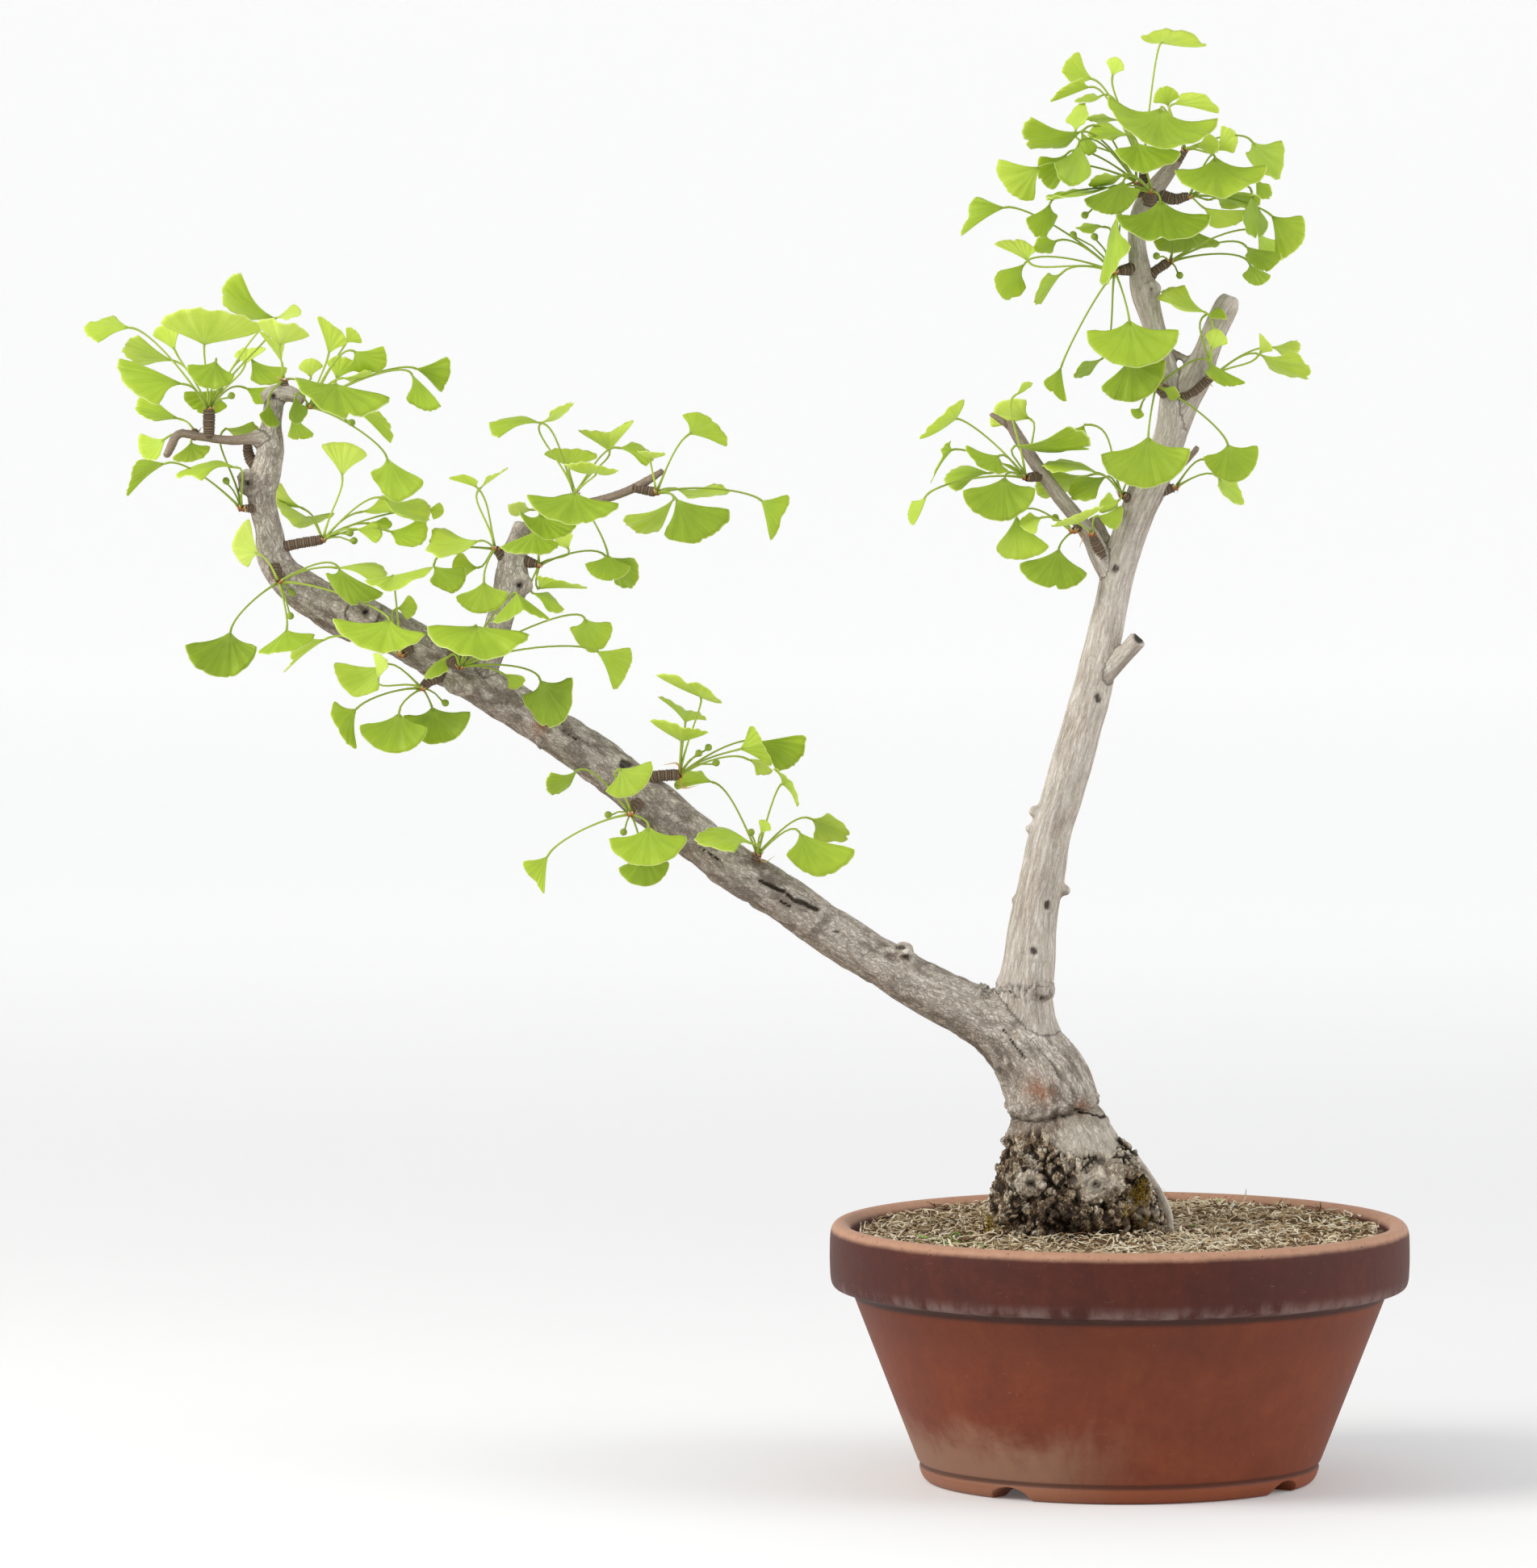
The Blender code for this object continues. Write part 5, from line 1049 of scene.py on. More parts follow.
# The short spurs. Stubby dark side shoots, ringed by the scars of each year's bud scales, on which the leaves
# sit. Each grows out of the wood that bears it, and its first point lies inside that wood.
# A spur is a list of points x, y, z and radius in millimetres.
SPURS = (
    ((-470.5, -4, 541, 2.6), (-470.5, -4, 548, 3), (-470.5, -4, 553.5, 3.1)),
    ((-445, 1, 524, 3.4), (-450, 5, 531, 2.8), (-451, 6, 536, 2.4)),
    ((-443, -2, 505, 3), (-451, -6, 505, 2)),
    ((-432, 0, 563, 3), (-432, 0, 568.5, 2.4)),
    ((-434, 0, 484, 3), (-428, -2, 486, 2.6), (-414.6, -4, 488.4, 2.5)),
    ((-437, -2, 478, 4), (-436, -9, 472, 2.8), (-435, -11, 469.5, 2.2)),
    ((-368, -4, 434, 5), (-370, -11, 431, 2.6)),
    ((-350, -2, 422, 6), (-357, -8, 416, 3), (-359.3, -10, 414, 2.4)),
    ((-345, -2, 428, 5), (-344, -10, 426, 3), (-342.5, -13, 424.8, 2.2)),
    ((-317, -3, 478, 4), (-321.3, -5, 482.5, 2.4)),
    ((-310, -3, 478, 4), (-303, -6, 476.6, 2.2)),
    ((-283, 1.5, 505, 2.2), (-282, 0.5, 509.5, 2)),
    ((-252, 0, 515.5, 2.2), (-242.5, -2.5, 513.6, 2.4)),
    ((-247, 0, 355, 5), (-251, -9, 351, 3), (-252.5, -11.3, 349.4, 2.2)),
    ((-247, 0, 363, 5), (-240, -1, 366, 3), (-230.8, -2, 366.8, 2.9)),
    ((-191, 0, 315, 5), (-188.3, -2, 323.4, 2.4)),
    ((-41, -6, 522, 3), (-47.5, -10.5, 521.2, 2.2)),
    ((-46, -5, 530, 2.8), (-46.5, -0.3, 531.5, 2)),
    ((-478, -4, 542, 2.2), (-478, 0.8, 543.6, 2)),
    ((-20, -4, 496, 3), (-23.2, -7.4, 494.4, 2)),
    ((-10, -3, 479, 4), (-14.4, -8.3, 489.8, 2.1)),
    ((8, 0, 507, 4), (2.4, -5.6, 511, 2.2)),
    ((18, 0, 514, 5), (25, -1, 515, 2.6)),
    ((24, -2, 564, 4), (19.4, -9, 567.4, 2.6)),
    ((31, -5, 562, 3), (38, -7, 566, 2.5), (44, -9, 571, 2.3)),
    ((9, 0, 629, 4), (-1, -5, 627.5, 2.3)),
    ((12, 0, 622, 5), (17, 0, 627, 2.6), (22.5, 0, 630.8, 2.5)),
    ((14, -2, 664, 4.5), (15, -6.6, 667, 2.6)),
    ((16, 0, 668, 3.4), (26, -2, 664.4, 3), (32, -3, 665.4, 2.4)),
    ((12, 0, 664, 4), (8.8, -2, 670.6, 2.2)),
    ((28, 0, 683, 2.6), (31.2, -1.4, 687.6, 2)),
    ((13, 1, 664, 4), (11, 4.6, 676.6, 2)),
)


def spur_bark():
    """Dark ringed bark with pale scar lines."""
    paint = Paint("bark_of_spurs", specular_ior_level=0.2)
    where = paint.place()
    ring = paint.value("ring")
    fine = paint.noise(where, 1.1, 4.0, 0.7)
    colour = paint.mix(fine, (0.05, 0.03, 0.02), (0.17, 0.115, 0.075))
    colour = paint.mix(ring * (0.4 + fine * 0.5), colour, (0.36, 0.28, 0.2))
    return paint.finish(colour, 0.85 + fine * 0.1, fine, depth=0.5, strength=0.6)


def build_spurs():
    """Tubes along each spur whose radius swells in rings a little over a millimetre apart."""
    columns = 14
    shape = Shape()
    for spur in SPURS:
        before, last = np.array(spur[-2], dtype=float), np.array(spur[-1], dtype=float)
        tip = last + 2.4 * (last - before) / np.linalg.norm(last[:3] - before[:3])
        line = smooth_line((*spur, (*tip[:3], 0.85 * last[3])), 0.32)
        run = np.concatenate(((0.0,), np.cumsum(np.linalg.norm(np.diff(line[:, :3], axis=0), axis=1))))
        wave = np.abs(np.sin(run * math.pi / 1.25 + 0.6 * np.sin(run * 1.7)))
        radius = (line[:, 3] * (0.9 + 0.2 * wave))[:, None] * np.ones(columns)
        body = tube(line[:, :3], radius, columns)
        radius = radius * (1.0 + 0.07 * lattice_noise(body, 1.6, 81))
        rings = np.repeat(wave ** 6, columns).reshape(-1, columns)
        shape.sheet(tube(line[:, :3], radius, columns), around=True, ends="fan", ring=rings)
    shape.piece("short_spurs", spur_bark(), ("tree_wood",), "bark")


build_spurs()


# The leaves. Each bud opens a bunch of long-stalked fans: thin, bright green, finely ribbed from the stalk
# outward, with a waved margin and a cleft in the middle.
# Bunches are listed by bud tip x, y, z, then for each leaf the stalk end x, z, left corner x, z, middle of
# the margin x, z, right corner x, z as seen from the front, and depth y.
SPRAYS = (
    ("upper_left_a", (-470.5, -4, 556.2), (
        (-473, 589, -496, 603, -471, 607, -443, 598, -14), (-437, 603, -455, 604, -463, 614, -455, 626, 4),
        (-436, 603, -431, 602, -423, 606, -428, 609, 2), (-488, 586, -500, 594, -494, 599, -485, 599, 8),
        (-511, 598, -528, 590, -534, 598, -520, 604, 6), (-489, 581, -505, 577, -514, 586, -508, 592, 16),
        (-484, 569, -497, 560, -514, 571, -516, 583, -14), (-467, 581, -482, 579, -469, 567, -457, 573, -20),
        (-449, 582, -449, 570, -434, 571, -431, 577, 14), (-452, 579, -458, 584, -450, 587, -441, 587, 8),
        (-466, 566, -484, 565, -478, 556, -461, 557, 20), (-452, 567, -447, 559, -437, 561, -431, 569, 26))),
    ("twig_back", (-478, 3.4, 544.4), (
        (-493, 541, -506, 543, -505, 532, -497, 530, 12), (-480, 539, -490, 531, -481, 529, -470, 537, 9),
        (-486, 551, -500, 548, -508, 556, -503, 563, 14))),
    ("upper_left_b", (-453.7, -7, 505), (
        (-493, 528, -507, 530, -510, 521, -513, 511, -16), (-457, 526, -475, 522, -487, 523, -470, 530, -14),
        (-462, 546, -456, 541, -446, 543, -448, 550, 14))),
    ("left_head", (-418.6, -2, 557.6), (
        (-405, 569, -427, 572, -400, 553, -377, 563, -18), (-393, 554, -378, 537, -377, 546, -384, 553, -4),
        (-364, 577, -348, 582, -349, 570, -352, 564, -6), (-366, 574, -368, 562, -358, 556, -350, 559, -14),
        (-405, 571, -410, 580, -402, 583, -393, 577, 2), (-402, 572, -397, 571, -387, 573, -390, 577, -4),
        (-379, 531, -388, 523, -373, 509, -360, 519, -12), (-409, 584, -415, 604, -406, 598, -399, 590, -6),
        (-400, 590, -400, 598, -396, 597, -392, 590, 10), (-396, 586, -400, 577, -380, 579, -381, 588, -8),
        (-426, 563, -430, 553, -425, 549, -420, 556, -12), (-428, 553, -430, 542, -424, 541, -416, 543, -6))),
    ("left_head_top", (-432, 0, 571.2), (
        (-434, 589, -447, 600, -432, 600, -419, 593, -8), (-433, 580, -445, 597, -438, 592, -431, 590, 0),
        (-440, 559, -445, 553, -437, 547, -434, 549, -12), (-418, 572, -425, 577, -419, 582, -412, 578, 8))),
    ("left_ringed_spur", (-412, -4, 488.8), (
        (-402, 521, -413, 537, -404, 538, -389, 532, 0), (-395, 494, -386, 487, -382, 491, -386, 498, -8),
        (-388, 497, -382, 493, -377, 496, -380, 500, 4), (-378, 493, -374, 485, -361, 487, -360, 500, -4),
        (-392, 503, -385, 502, -375, 505, -381, 511, 6), (-381, 510, -373, 501, -358, 500, -362, 511, -2),
        (-358, 504, -355, 499, -350, 503, -352, 508, 8), (-423, 505, -436, 507, -438, 512, -434, 517, 22),
        (-420, 500, -437, 508, -424, 494, -406, 501, 14))),
    ("left_bend", (-434.3, -13.2, 467.6), (
        (-445, 481, -451, 474, -458, 487, -450, 499, -16), (-460, 441, -484, 434, -463, 418, -446, 433, -18),
        (-431, 442, -446, 431, -434, 431, -416, 440, -30), (-404, 474, -411, 471, -394, 456, -381, 461, -24),
        (-405, 474, -388, 466, -380, 470, -385, 475, -10),
        (-378, 447, -408, 447, -381, 431, -359, 440, -28))),
    ("left_under_a", (-371.5, -13.6, 430), (
        (-376, 470, -392, 470, -376, 462, -355, 477, -22), (-374, 453, -369, 447, -364, 453, -368, 460, -12),
        (-411, 437, -432, 419, -428, 426, -424, 437, -14))),
    ("left_under_b", (-360.6, -12, 412.6), (
        (-381, 423, -406, 425, -396, 408, -384, 411, -16), (-384, 416, -387, 429, -382, 428, -379, 423, -22),
        (-395, 401, -407, 405, -404, 391, -395, 380, -14), (-373, 399, -394, 392, -373, 379, -358, 391, -20),
        (-356, 402, -371, 397, -350, 384, -336, 399, -8))),
    ("left_under_c", (-341, -15.4, 423.8), (
        (-333, 444, -359, 443, -333, 427, -305, 439, -26), (-346, 429, -349, 422, -358, 417, -360, 420, -22),
        (-300, 416, -309, 407, -296, 392, -284, 417, -18), (-271, 431, -253, 433, -256, 420, -262, 411, -12),
        (-319, 419, -316, 412, -310, 413, -308, 418, -14), (-277, 448, -284, 443, -271, 431, -263, 446, -4),
        (-312, 461, -325, 445, -309, 453, -295, 446, -24))),
    ("left_branch_west", (-323, -6.6, 484.4), (
        (-331, 488, -345, 480, -358, 482, -350, 496, -10), (-355, 475, -357, 467, -344, 462, -339, 474, -6),
        (-332, 474, -340, 482, -345, 475, -341, 468, -4), (-332, 515, -347, 520, -339, 522, -332, 519, -4),
        (-331, 515, -316, 525, -321, 523, -327, 520, 2), (-329, 467, -344, 459, -328, 451, -316, 461, -26))),
    ("left_branch_east", (-300.4, -7.4, 476), (
        (-266, 480, -262, 466, -253, 464, -252, 478, -4), (-301, 463, -302, 470, -293, 468, -275, 463, -6),
        (-304, 461, -297, 451, -288, 453, -296, 460, -10), (-285, 483, -292, 486, -290, 492, -283, 491, -2),
        (-302, 493, -321, 485, -305, 482, -290, 486, -10))),
    ("long_twig_middle", (-282, 0, 512.2), (
        (-300, 549, -322, 543, -325, 549, -312, 553, -2), (-299, 549, -291, 550, -283, 559, -294, 555, 4),
        (-282, 513, -307, 510, -280, 497, -259, 507, -22), (-300, 502, -311, 502, -291, 490, -281, 496, -22),
        (-304, 504, -313, 500, -316, 506, -308, 508, 8),
        (-285, 526, -298, 533, -284, 535, -270, 531, 4), (-271, 523, -288, 525, -275, 528, -259, 522, -6),
        (-264, 534, -280, 544, -266, 543, -251, 549, 12), (-259, 536, -247, 527, -242, 531, -252, 539, 4),
        (-265, 481, -277, 476, -263, 468, -253, 475, -14))),
    ("long_twig_end", (-239.9, -3, 513), (
        (-223, 543, -226, 554, -211, 550, -203, 537, 2), (-230, 515, -222, 511, -203, 513, -210, 518, 8),
        (-186, 509, -172, 512, -176, 500, -181, 488, -2), (-231, 509, -240, 494, -253, 496, -256, 502, -8),
        (-230, 510, -236, 491, -216, 489, -201, 504, -16), (-243, 530, -250, 533, -243, 534, -235, 532, -8))),
    ("left_middle_under", (-253, -13.6, 347.6), (
        (-259, 370, -266, 358, -249, 359, -242, 374, -20), (-281, 369, -286, 358, -296, 359, -294, 366, -14),
        (-296, 325, -309, 322, -302, 312, -298, 305, -16), (-244, 340, -265, 334, -246, 320, -224, 336, -20),
        (-247, 327, -260, 318, -243, 310, -233, 321, -12))),
    ("left_middle_spur", (-228.1, -2.2, 367), (
        (-217, 407, -241, 418, -222, 415, -206, 403, -2), (-225, 394, -240, 407, -225, 400, -214, 395, 4),
        (-227, 384, -244, 393, -226, 391, -213, 387, -6), (-197, 380, -192, 392, -186, 383, -181, 371, -10),
        (-188, 384, -178, 368, -167, 375, -164, 387, 2), (-193, 375, -188, 367, -181, 368, -183, 373, 6))),
    ("left_low_bud", (-187.6, -2.6, 326), (
        (-211, 363, -217, 369, -228, 366, -230, 359, 10), (-190, 331, -200, 326, -219, 333, -208, 339, -26),
        (-166, 337, -173, 325, -155, 315, -137, 328, -8), (-160, 344, -158, 335, -141, 334, -150, 348, 6),
        (-186, 336, -187, 343, -182, 342, -181, 338, -4), (-175, 362, -180, 370, -170, 363, -167, 350, -4))),
    ("side_branch_tip", (-49.6, -12.4, 521.4), (
        (-85, 551, -103, 539, -95, 550, -80, 560, -2), (-87, 535, -88, 540, -93, 532, -99, 518, -6),
        (-68, 523, -83, 516, -90, 519, -82, 529, 2), (-100, 512, -108, 508, -110, 502, -107, 496, -10),
        (-63, 532, -81, 537, -72, 526, -58, 523, -20), (-55, 537, -36, 534, -17, 537, -27, 546, -20),
        (-60, 521, -82, 514, -63, 499, -44, 515, -22), (-55, 563, -51, 564, -46, 569, -51, 569, -14))),
    ("side_branch_back", (-46.6, 2.2, 532), ((-47, 551, -66, 547, -64, 558, -49, 561, 4),)),
    ("side_branch_middle", (-25, -9.2, 493.6), (
        (-54, 501, -66, 484, -50, 479, -38, 485, -14), (-41, 500, -44, 492, -52, 497, -47, 503, -18),
        (-32, 484, -53, 476, -35, 464, -17, 471, -12))),
    ("side_branch_foot", (-15.4, -11.4, 492.2), (
        (-22, 497, -36, 495, -25, 500, -8, 505, -14), (-12, 501, -9, 496, -3, 494, 0, 506, -14))),
    ("right_trunk_west", (0.2, -7.6, 512.2), (
        (-19, 548, -28, 545, -22, 541, -17, 541, -2), (-12, 523, -30, 524, -40, 527, -25, 531, -10),
        (-16, 522, -28, 511, -43, 514, -38, 525, 18), (-8, 521, -14, 511, -26, 511, -22, 523, 0),
        (-1, 509, -2, 505, -11, 503, -6, 513, -12))),
    ("right_trunk_east", (27.7, -1.2, 515.6), (
        (50, 521, 49, 515, 63, 507, 57, 520, -6), (44, 530, 47, 525, 56, 527, 53, 533, 4))),
    ("fork_front", (17.6, -11.6, 568.4), (
        (14, 542, -11, 532, 13, 516, 36, 535, -20), (5, 583, -11, 567, 2, 561, 23, 581, -22),
        (10, 557, 5, 556, 9, 551, 12, 553, -12), (46, 580, 43, 575, 55, 568, 64, 570, -18),
        (21, 567, 25, 561, 30, 563, 27, 568, -16), (55, 538, 42, 531, 60, 519, 71, 537, -14))),
    ("stub_spur", (46.1, -10, 572.6), (
        (43, 606, 29, 607, 20, 615, 32, 620, -13), (44, 605, 46, 603, 54, 603, 49, 609, -11),
        (46, 586, 43, 594, 49, 597, 55, 590, -15), (72, 584, 77, 575, 96, 572, 90, 586, -9),
        (71, 584, 71, 595, 75, 591, 78, 586, -4), (77, 588, 83, 585, 92, 587, 88, 592, 4))),
    ("leader_west", (-3.6, -6.2, 627), (
        (4, 602, -19, 597, 7, 578, 30, 597, -20), (-31, 578, -41, 571, -35, 565, -29, 560, -8),
        (-10, 582, -16, 575, -24, 573, -20, 581, 0), (-2, 656, -9, 645, -8, 621, 2, 640, -26),
        (-33, 643, -36, 637, -45, 639, -40, 646, -4), (-48, 632, -44, 638, -55, 643, -66, 641, 2),
        (-50, 631, -65, 627, -59, 613, -50, 619, -10), (-31, 626, -38, 626, -44, 611, -40, 611, -6),
        (-60, 660, -75, 666, -78, 655, -83, 645, -4), (-9, 650, -15, 647, -23, 649, -15, 652, 4))),
    ("leader_east", (24.9, 0, 632.2), (
        (64, 640, 63, 634, 74, 627, 82, 636, -10), (66, 631, 62, 625, 70, 620, 77, 625, -2),
        (70, 647, 72, 637, 83, 634, 86, 643, 2), (32, 652, 16, 642, 35, 639, 51, 642, 2))),
    ("crown_front", (15.2, -9.2, 668.4), (
        (20, 664, -4, 656, 22, 643, 46, 657, -24), (1, 674, -20, 664, -6, 657, 10, 669, -24),
        (-4, 671, -28, 665, -38, 665, -25, 669, -14), (-37, 662, -49, 654, -42, 645, -32, 655, -14),
        (1, 677, -6, 671, -16, 672, -9, 678, -18), (8, 693, -4, 690, 12, 679, 31, 689, -18))),
    ("crown_east", (34.7, -3.6, 666), (
        (48, 686, 27, 681, 53, 667, 75, 682, -22), (44, 664, 52, 661, 70, 661, 68, 669, -4),
        (42, 660, 46, 651, 58, 651, 66, 659, -8), (67, 668, 61, 655, 70, 645, 75, 652, -14),
        (69, 675, 70, 666, 76, 665, 76, 672, 0), (77, 656, 93, 656, 92, 642, 80, 634, -8))),
    ("crown_west", (7.6, -2.6, 673.4), (
        (-21, 699, -31, 689, -49, 694, -47, 706, -14), (-42, 681, -45, 664, -58, 669, -64, 685, -8),
        (-28, 688, -33, 670, -41, 674, -42, 686, 6), (-22, 694, -35, 683, -27, 672, -16, 678, -20),
        (-21, 699, -22, 692, -17, 687, -12, 692, -2), (4, 697, -5, 694, -17, 697, -8, 703, -10))),
    ("crown_back", (11, 5.4, 679.4), (
        (-15, 726, -24, 723, -30, 730, -22, 740, 4), (-16, 722, -37, 713, -33, 719, -20, 726, -4),
        (-9, 718, -17, 714, -24, 715, -15, 719, 12), (-5, 727, -8, 735, -3, 737, 1, 731, 18),
        (-24, 699, -18, 703, -19, 713, -28, 704, 6), (-2, 705, -10, 703, -18, 706, -10, 708, 14),
        (20, 744.5, 9, 746, 27, 751, 44, 743, 2))),
    ("crown_top", (32.6, -2, 690), (
        (20, 711, -8, 717, 18, 691, 51, 705, -16), (26, 713, 31, 719, 42, 718, 51, 708, 2),
        (24, 712, 16, 714, 21, 722, 30, 717, 8), (67, 694, 63, 687, 80, 675, 82, 694, -2),
        (49, 689, 51, 702, 57, 698, 58, 688, -6), (52, 694, 55, 701, 59, 697, 59, 692, 4),
        (38, 691, 46, 687, 50, 692, 44, 698, -12))),
)

FULL_FAN_RATIO = 0.56
FAN_WIDTH_RATIO = 1.35
CORNER_LEAN = 0.45
FAN_COLUMNS = 31
FAN_ROWS = 9
STALK_COLUMNS = 7


def on_sight_line(x, depth, z):
    """Point at a depth that is seen at (x, z) of the tree's own plane from the front."""
    share = 1.0 + depth / -EYE[1]
    return np.array((EYE[0] + (x - EYE[0]) * share, depth, EYE[2] + (z - EYE[2]) * share))


def leaf_corners(leaf):
    """Stalk end, left corner, middle and right corner of a blade. What a blade's outline lacks of a full fan
    is how far it leans out of the picture, forward in front of the wood and backward behind it."""
    base_x, base_z, left_x, left_z, middle_x, middle_z, right_x, right_z, depth = leaf
    chord = math.hypot(right_x - left_x, right_z - left_z)
    reach = math.hypot(middle_x - base_x, middle_z - base_z)
    full = max(FULL_FAN_RATIO * chord, reach)
    lean = math.sqrt(full * full - reach * reach) * (1.0 if depth > 0 else -1.0)
    missing = max(0.0, (FAN_WIDTH_RATIO * full) ** 2 - chord * chord)
    turn = 0.5 * math.sqrt(missing) * (1.0 if (base_x + base_z) % 2 else -1.0)
    base = on_sight_line(base_x, depth, base_z)
    left = on_sight_line(left_x, depth + CORNER_LEAN * lean - turn, left_z)
    middle = on_sight_line(middle_x, depth + lean, middle_z)
    right = on_sight_line(right_x, depth + CORNER_LEAN * lean + turn, right_z)
    return base, left, middle, right


def turned_between(start, end, share):
    """Direction and length turned evenly from one vector to another, for a row of shares."""
    first, second = np.linalg.norm(start), np.linalg.norm(end)
    angle = math.acos(np.clip(np.dot(start, end) / (first * second), -0.999, 0.9999))
    share = share[..., None]
    return (np.sin((1.0 - share) * angle) * start + np.sin(share * angle) * end) / math.sin(angle)


def unit(vector):
    """The vector at length one."""
    return vector / np.linalg.norm(vector)


def add_blade(shape, corners, rng, tone):
    """Fan: rays from the stalk end, turned evenly from corner to corner, each as long as the margin is far.
    The sides pull in near the stalk, the corners are rounded, the margin ripples and is cleft in the middle,
    and the face is cupped, pleated along the rays and waved toward the margin."""
    base, left, middle, right = corners
    axis = unit(middle - base)
    width = np.linalg.norm(right - left)
    normal = unit(np.cross(right - left, axis))
    u = np.linspace(-1.0, 1.0, FAN_COLUMNS)
    v = np.linspace(0.0, 1.0, FAN_ROWS)[:, None] ** 0.85
    spread = u * (0.66 + 0.34 * np.clip(v * 1.25, 0.0, 1.0) ** 0.8)
    start = middle - base
    rays = np.where((spread < 0)[..., None], turned_between(start, left - base, np.abs(spread)),
                    turned_between(start, right - base, np.abs(spread)))
    seeds = rng.integers(0, 90, 3)
    along = np.stack((u * 3.2, 0 * u, 0 * u), axis=-1)
    ripple = 0.03 * lattice_noise(along, 1.0, seeds[0]) + 0.02 * lattice_noise(along * 4.5, 1.0, seeds[1])
    cleft_depth = max(0.0, rng.uniform(-0.08, 0.12))
    cleft_place = rng.uniform(-0.1, 0.1)
    cleft_width = rng.uniform(0.035, 0.06)
    cleft = cleft_depth * np.exp(-((u - cleft_place) / cleft_width) ** 2)
    margin = (1.05 - 0.07 * np.abs(u) ** 8) * (1.0 + ripple) - cleft
    reach = 0.02 + 0.98 * v * (1.0 + (margin - 1.0) * v ** 2)
    face = base + rays * reach[..., None]
    cup = rng.uniform(-0.05, 0.07) * np.sin(math.pi * v) + rng.uniform(-0.09, 0.05) * u ** 2 * v ** 2
    pleat = 0.011 * np.sin(u * rng.uniform(15.0, 21.0) + rng.uniform(0, 6)) * v ** 1.5
    wave = 0.05 * lattice_noise(along * 0.9, 1.0, seeds[2]) * v ** 3
    bulge = width * (cup + pleat + wave)
    thick = 0.24 - 0.13 * v + 0.1 * np.exp(-(u / 0.05) ** 2) * (1 - v)
    top = face + (bulge + thick)[..., None] * normal
    under = (face + (bulge - thick)[..., None] * normal)[:, ::-1]
    fan = np.stack((np.broadcast_to(u, spread.shape), np.broadcast_to(v, spread.shape),
                    np.full(spread.shape, rng.uniform(0, 50.0))), axis=-1)
    ring = np.concatenate((top, under), axis=1)
    fan = np.concatenate((fan, fan[:, ::-1]), axis=1)
    shape.sheet(ring, around=True, ends="zip", fan=fan, tone=tone, stalk=0.0)


def add_stalk(shape, hub, corners, tone):
    """Thin round stalk along a cubic curve that rises from the bud and runs into the blade along its middle,
    narrowest halfway; the stalk of a blade folded back over it comes in from behind."""
    base, middle = corners[0], corners[2]
    axis = unit(middle - base)
    span = np.linalg.norm(base - hub)
    root = hub + (base - hub) / span
    rise = hub + 0.35 * (base - hub) + np.array((0.0, 0.0, 0.12 * span))
    folded = min(1.0, max(0.0, -1.5 * np.dot(axis, base - hub) / span))
    behind = unit((hub - base) - np.dot(hub - base, axis) * axis)
    enter = base - min(0.28 * span, 8.0) * axis + min(0.45 * span, 16.0) * folded * behind
    t = np.linspace(0.0, 1.0, max(6, min(14, int(span / 3))))[:, None]
    line = (1 - t) ** 3 * root + 3 * t * (1 - t) ** 2 * rise + 3 * t * t * (1 - t) * enter + t ** 3 * base
    line = np.concatenate((line, base + axis * np.array((1.2, 3.0))[:, None]))
    t = np.concatenate((t[:, 0], (1.05, 1.1)))
    radius = 0.5 + 0.35 * (1 - np.clip(t, 0, 1)) ** 6 + 0.2 * np.clip(t, 0, 1) ** 6
    radius[-2:] = (0.42, 0.12)
    shape.sheet(tube(line, radius, STALK_COLUMNS), around=True, ends="fan", fan=(0.0, 0.0, 0.0), tone=tone,
                stalk=1.0)


def living_leaf():
    """Thin green blade: fan veins that double outward, pale ribs and margin, brighter or deeper leaf by leaf,
    at random and as painted light and shade by the way each leaf points, light passing through."""
    paint = Paint("living_leaf", specular_ior_level=0.28, subsurface_weight=0.55, subsurface_scale=0.0011)
    paint.shader.inputs["Subsurface Radius"].default_value = (1.0, 1.0, 0.2)
    u, v, own = paint.parts(paint.value("fan", 1))
    tone, stalk = paint.value("tone"), paint.value("stalk")
    where = paint.place()
    cloud = paint.noise(where, 14.0, 3.0, 0.6)
    fine = paint.noise(where, 1.6, 3.0, 0.6)
    rays = paint.put("ShaderNodeCombineXYZ", {}, {0: u * 17.0, 1: own, 2: v * 0.9})
    ribs = paint.noise(rays, 1.0, 3.0, 0.7)
    # The tone read here carries painted light and shade: brighter for rising leaves, deeper for hanging ones.
    shade = (tone * 0.8 + (cloud - 0.5) * 0.35 + (ribs - 0.5) * 0.42).band(0.0, 1.0, soft=False)
    colour = paint.ramp(shade, (
        (0.0, (0.2, 0.3, 0.018)), (0.35, (0.345, 0.475, 0.04)), (0.65, (0.495, 0.64, 0.085)),
        (1.0, (0.68, 0.83, 0.2))))
    base = v.band(0.35, 0.0)
    colour = paint.mix(base * 0.3, colour, (0.42, 0.56, 0.1))
    rim = v.band(0.965, 1.0)
    colour = paint.mix(rim * 0.6, colour, (0.72, 0.84, 0.34))
    green = paint.mix(tone, (0.24, 0.33, 0.035), (0.44, 0.55, 0.09))
    colour = paint.mix(stalk, colour, green)
    height = ribs * v.band(1.3, 0.1) * 0.5 + fine * 0.1
    return paint.finish(colour, 0.5 + fine * 0.1, height, depth=0.4, strength=0.5)


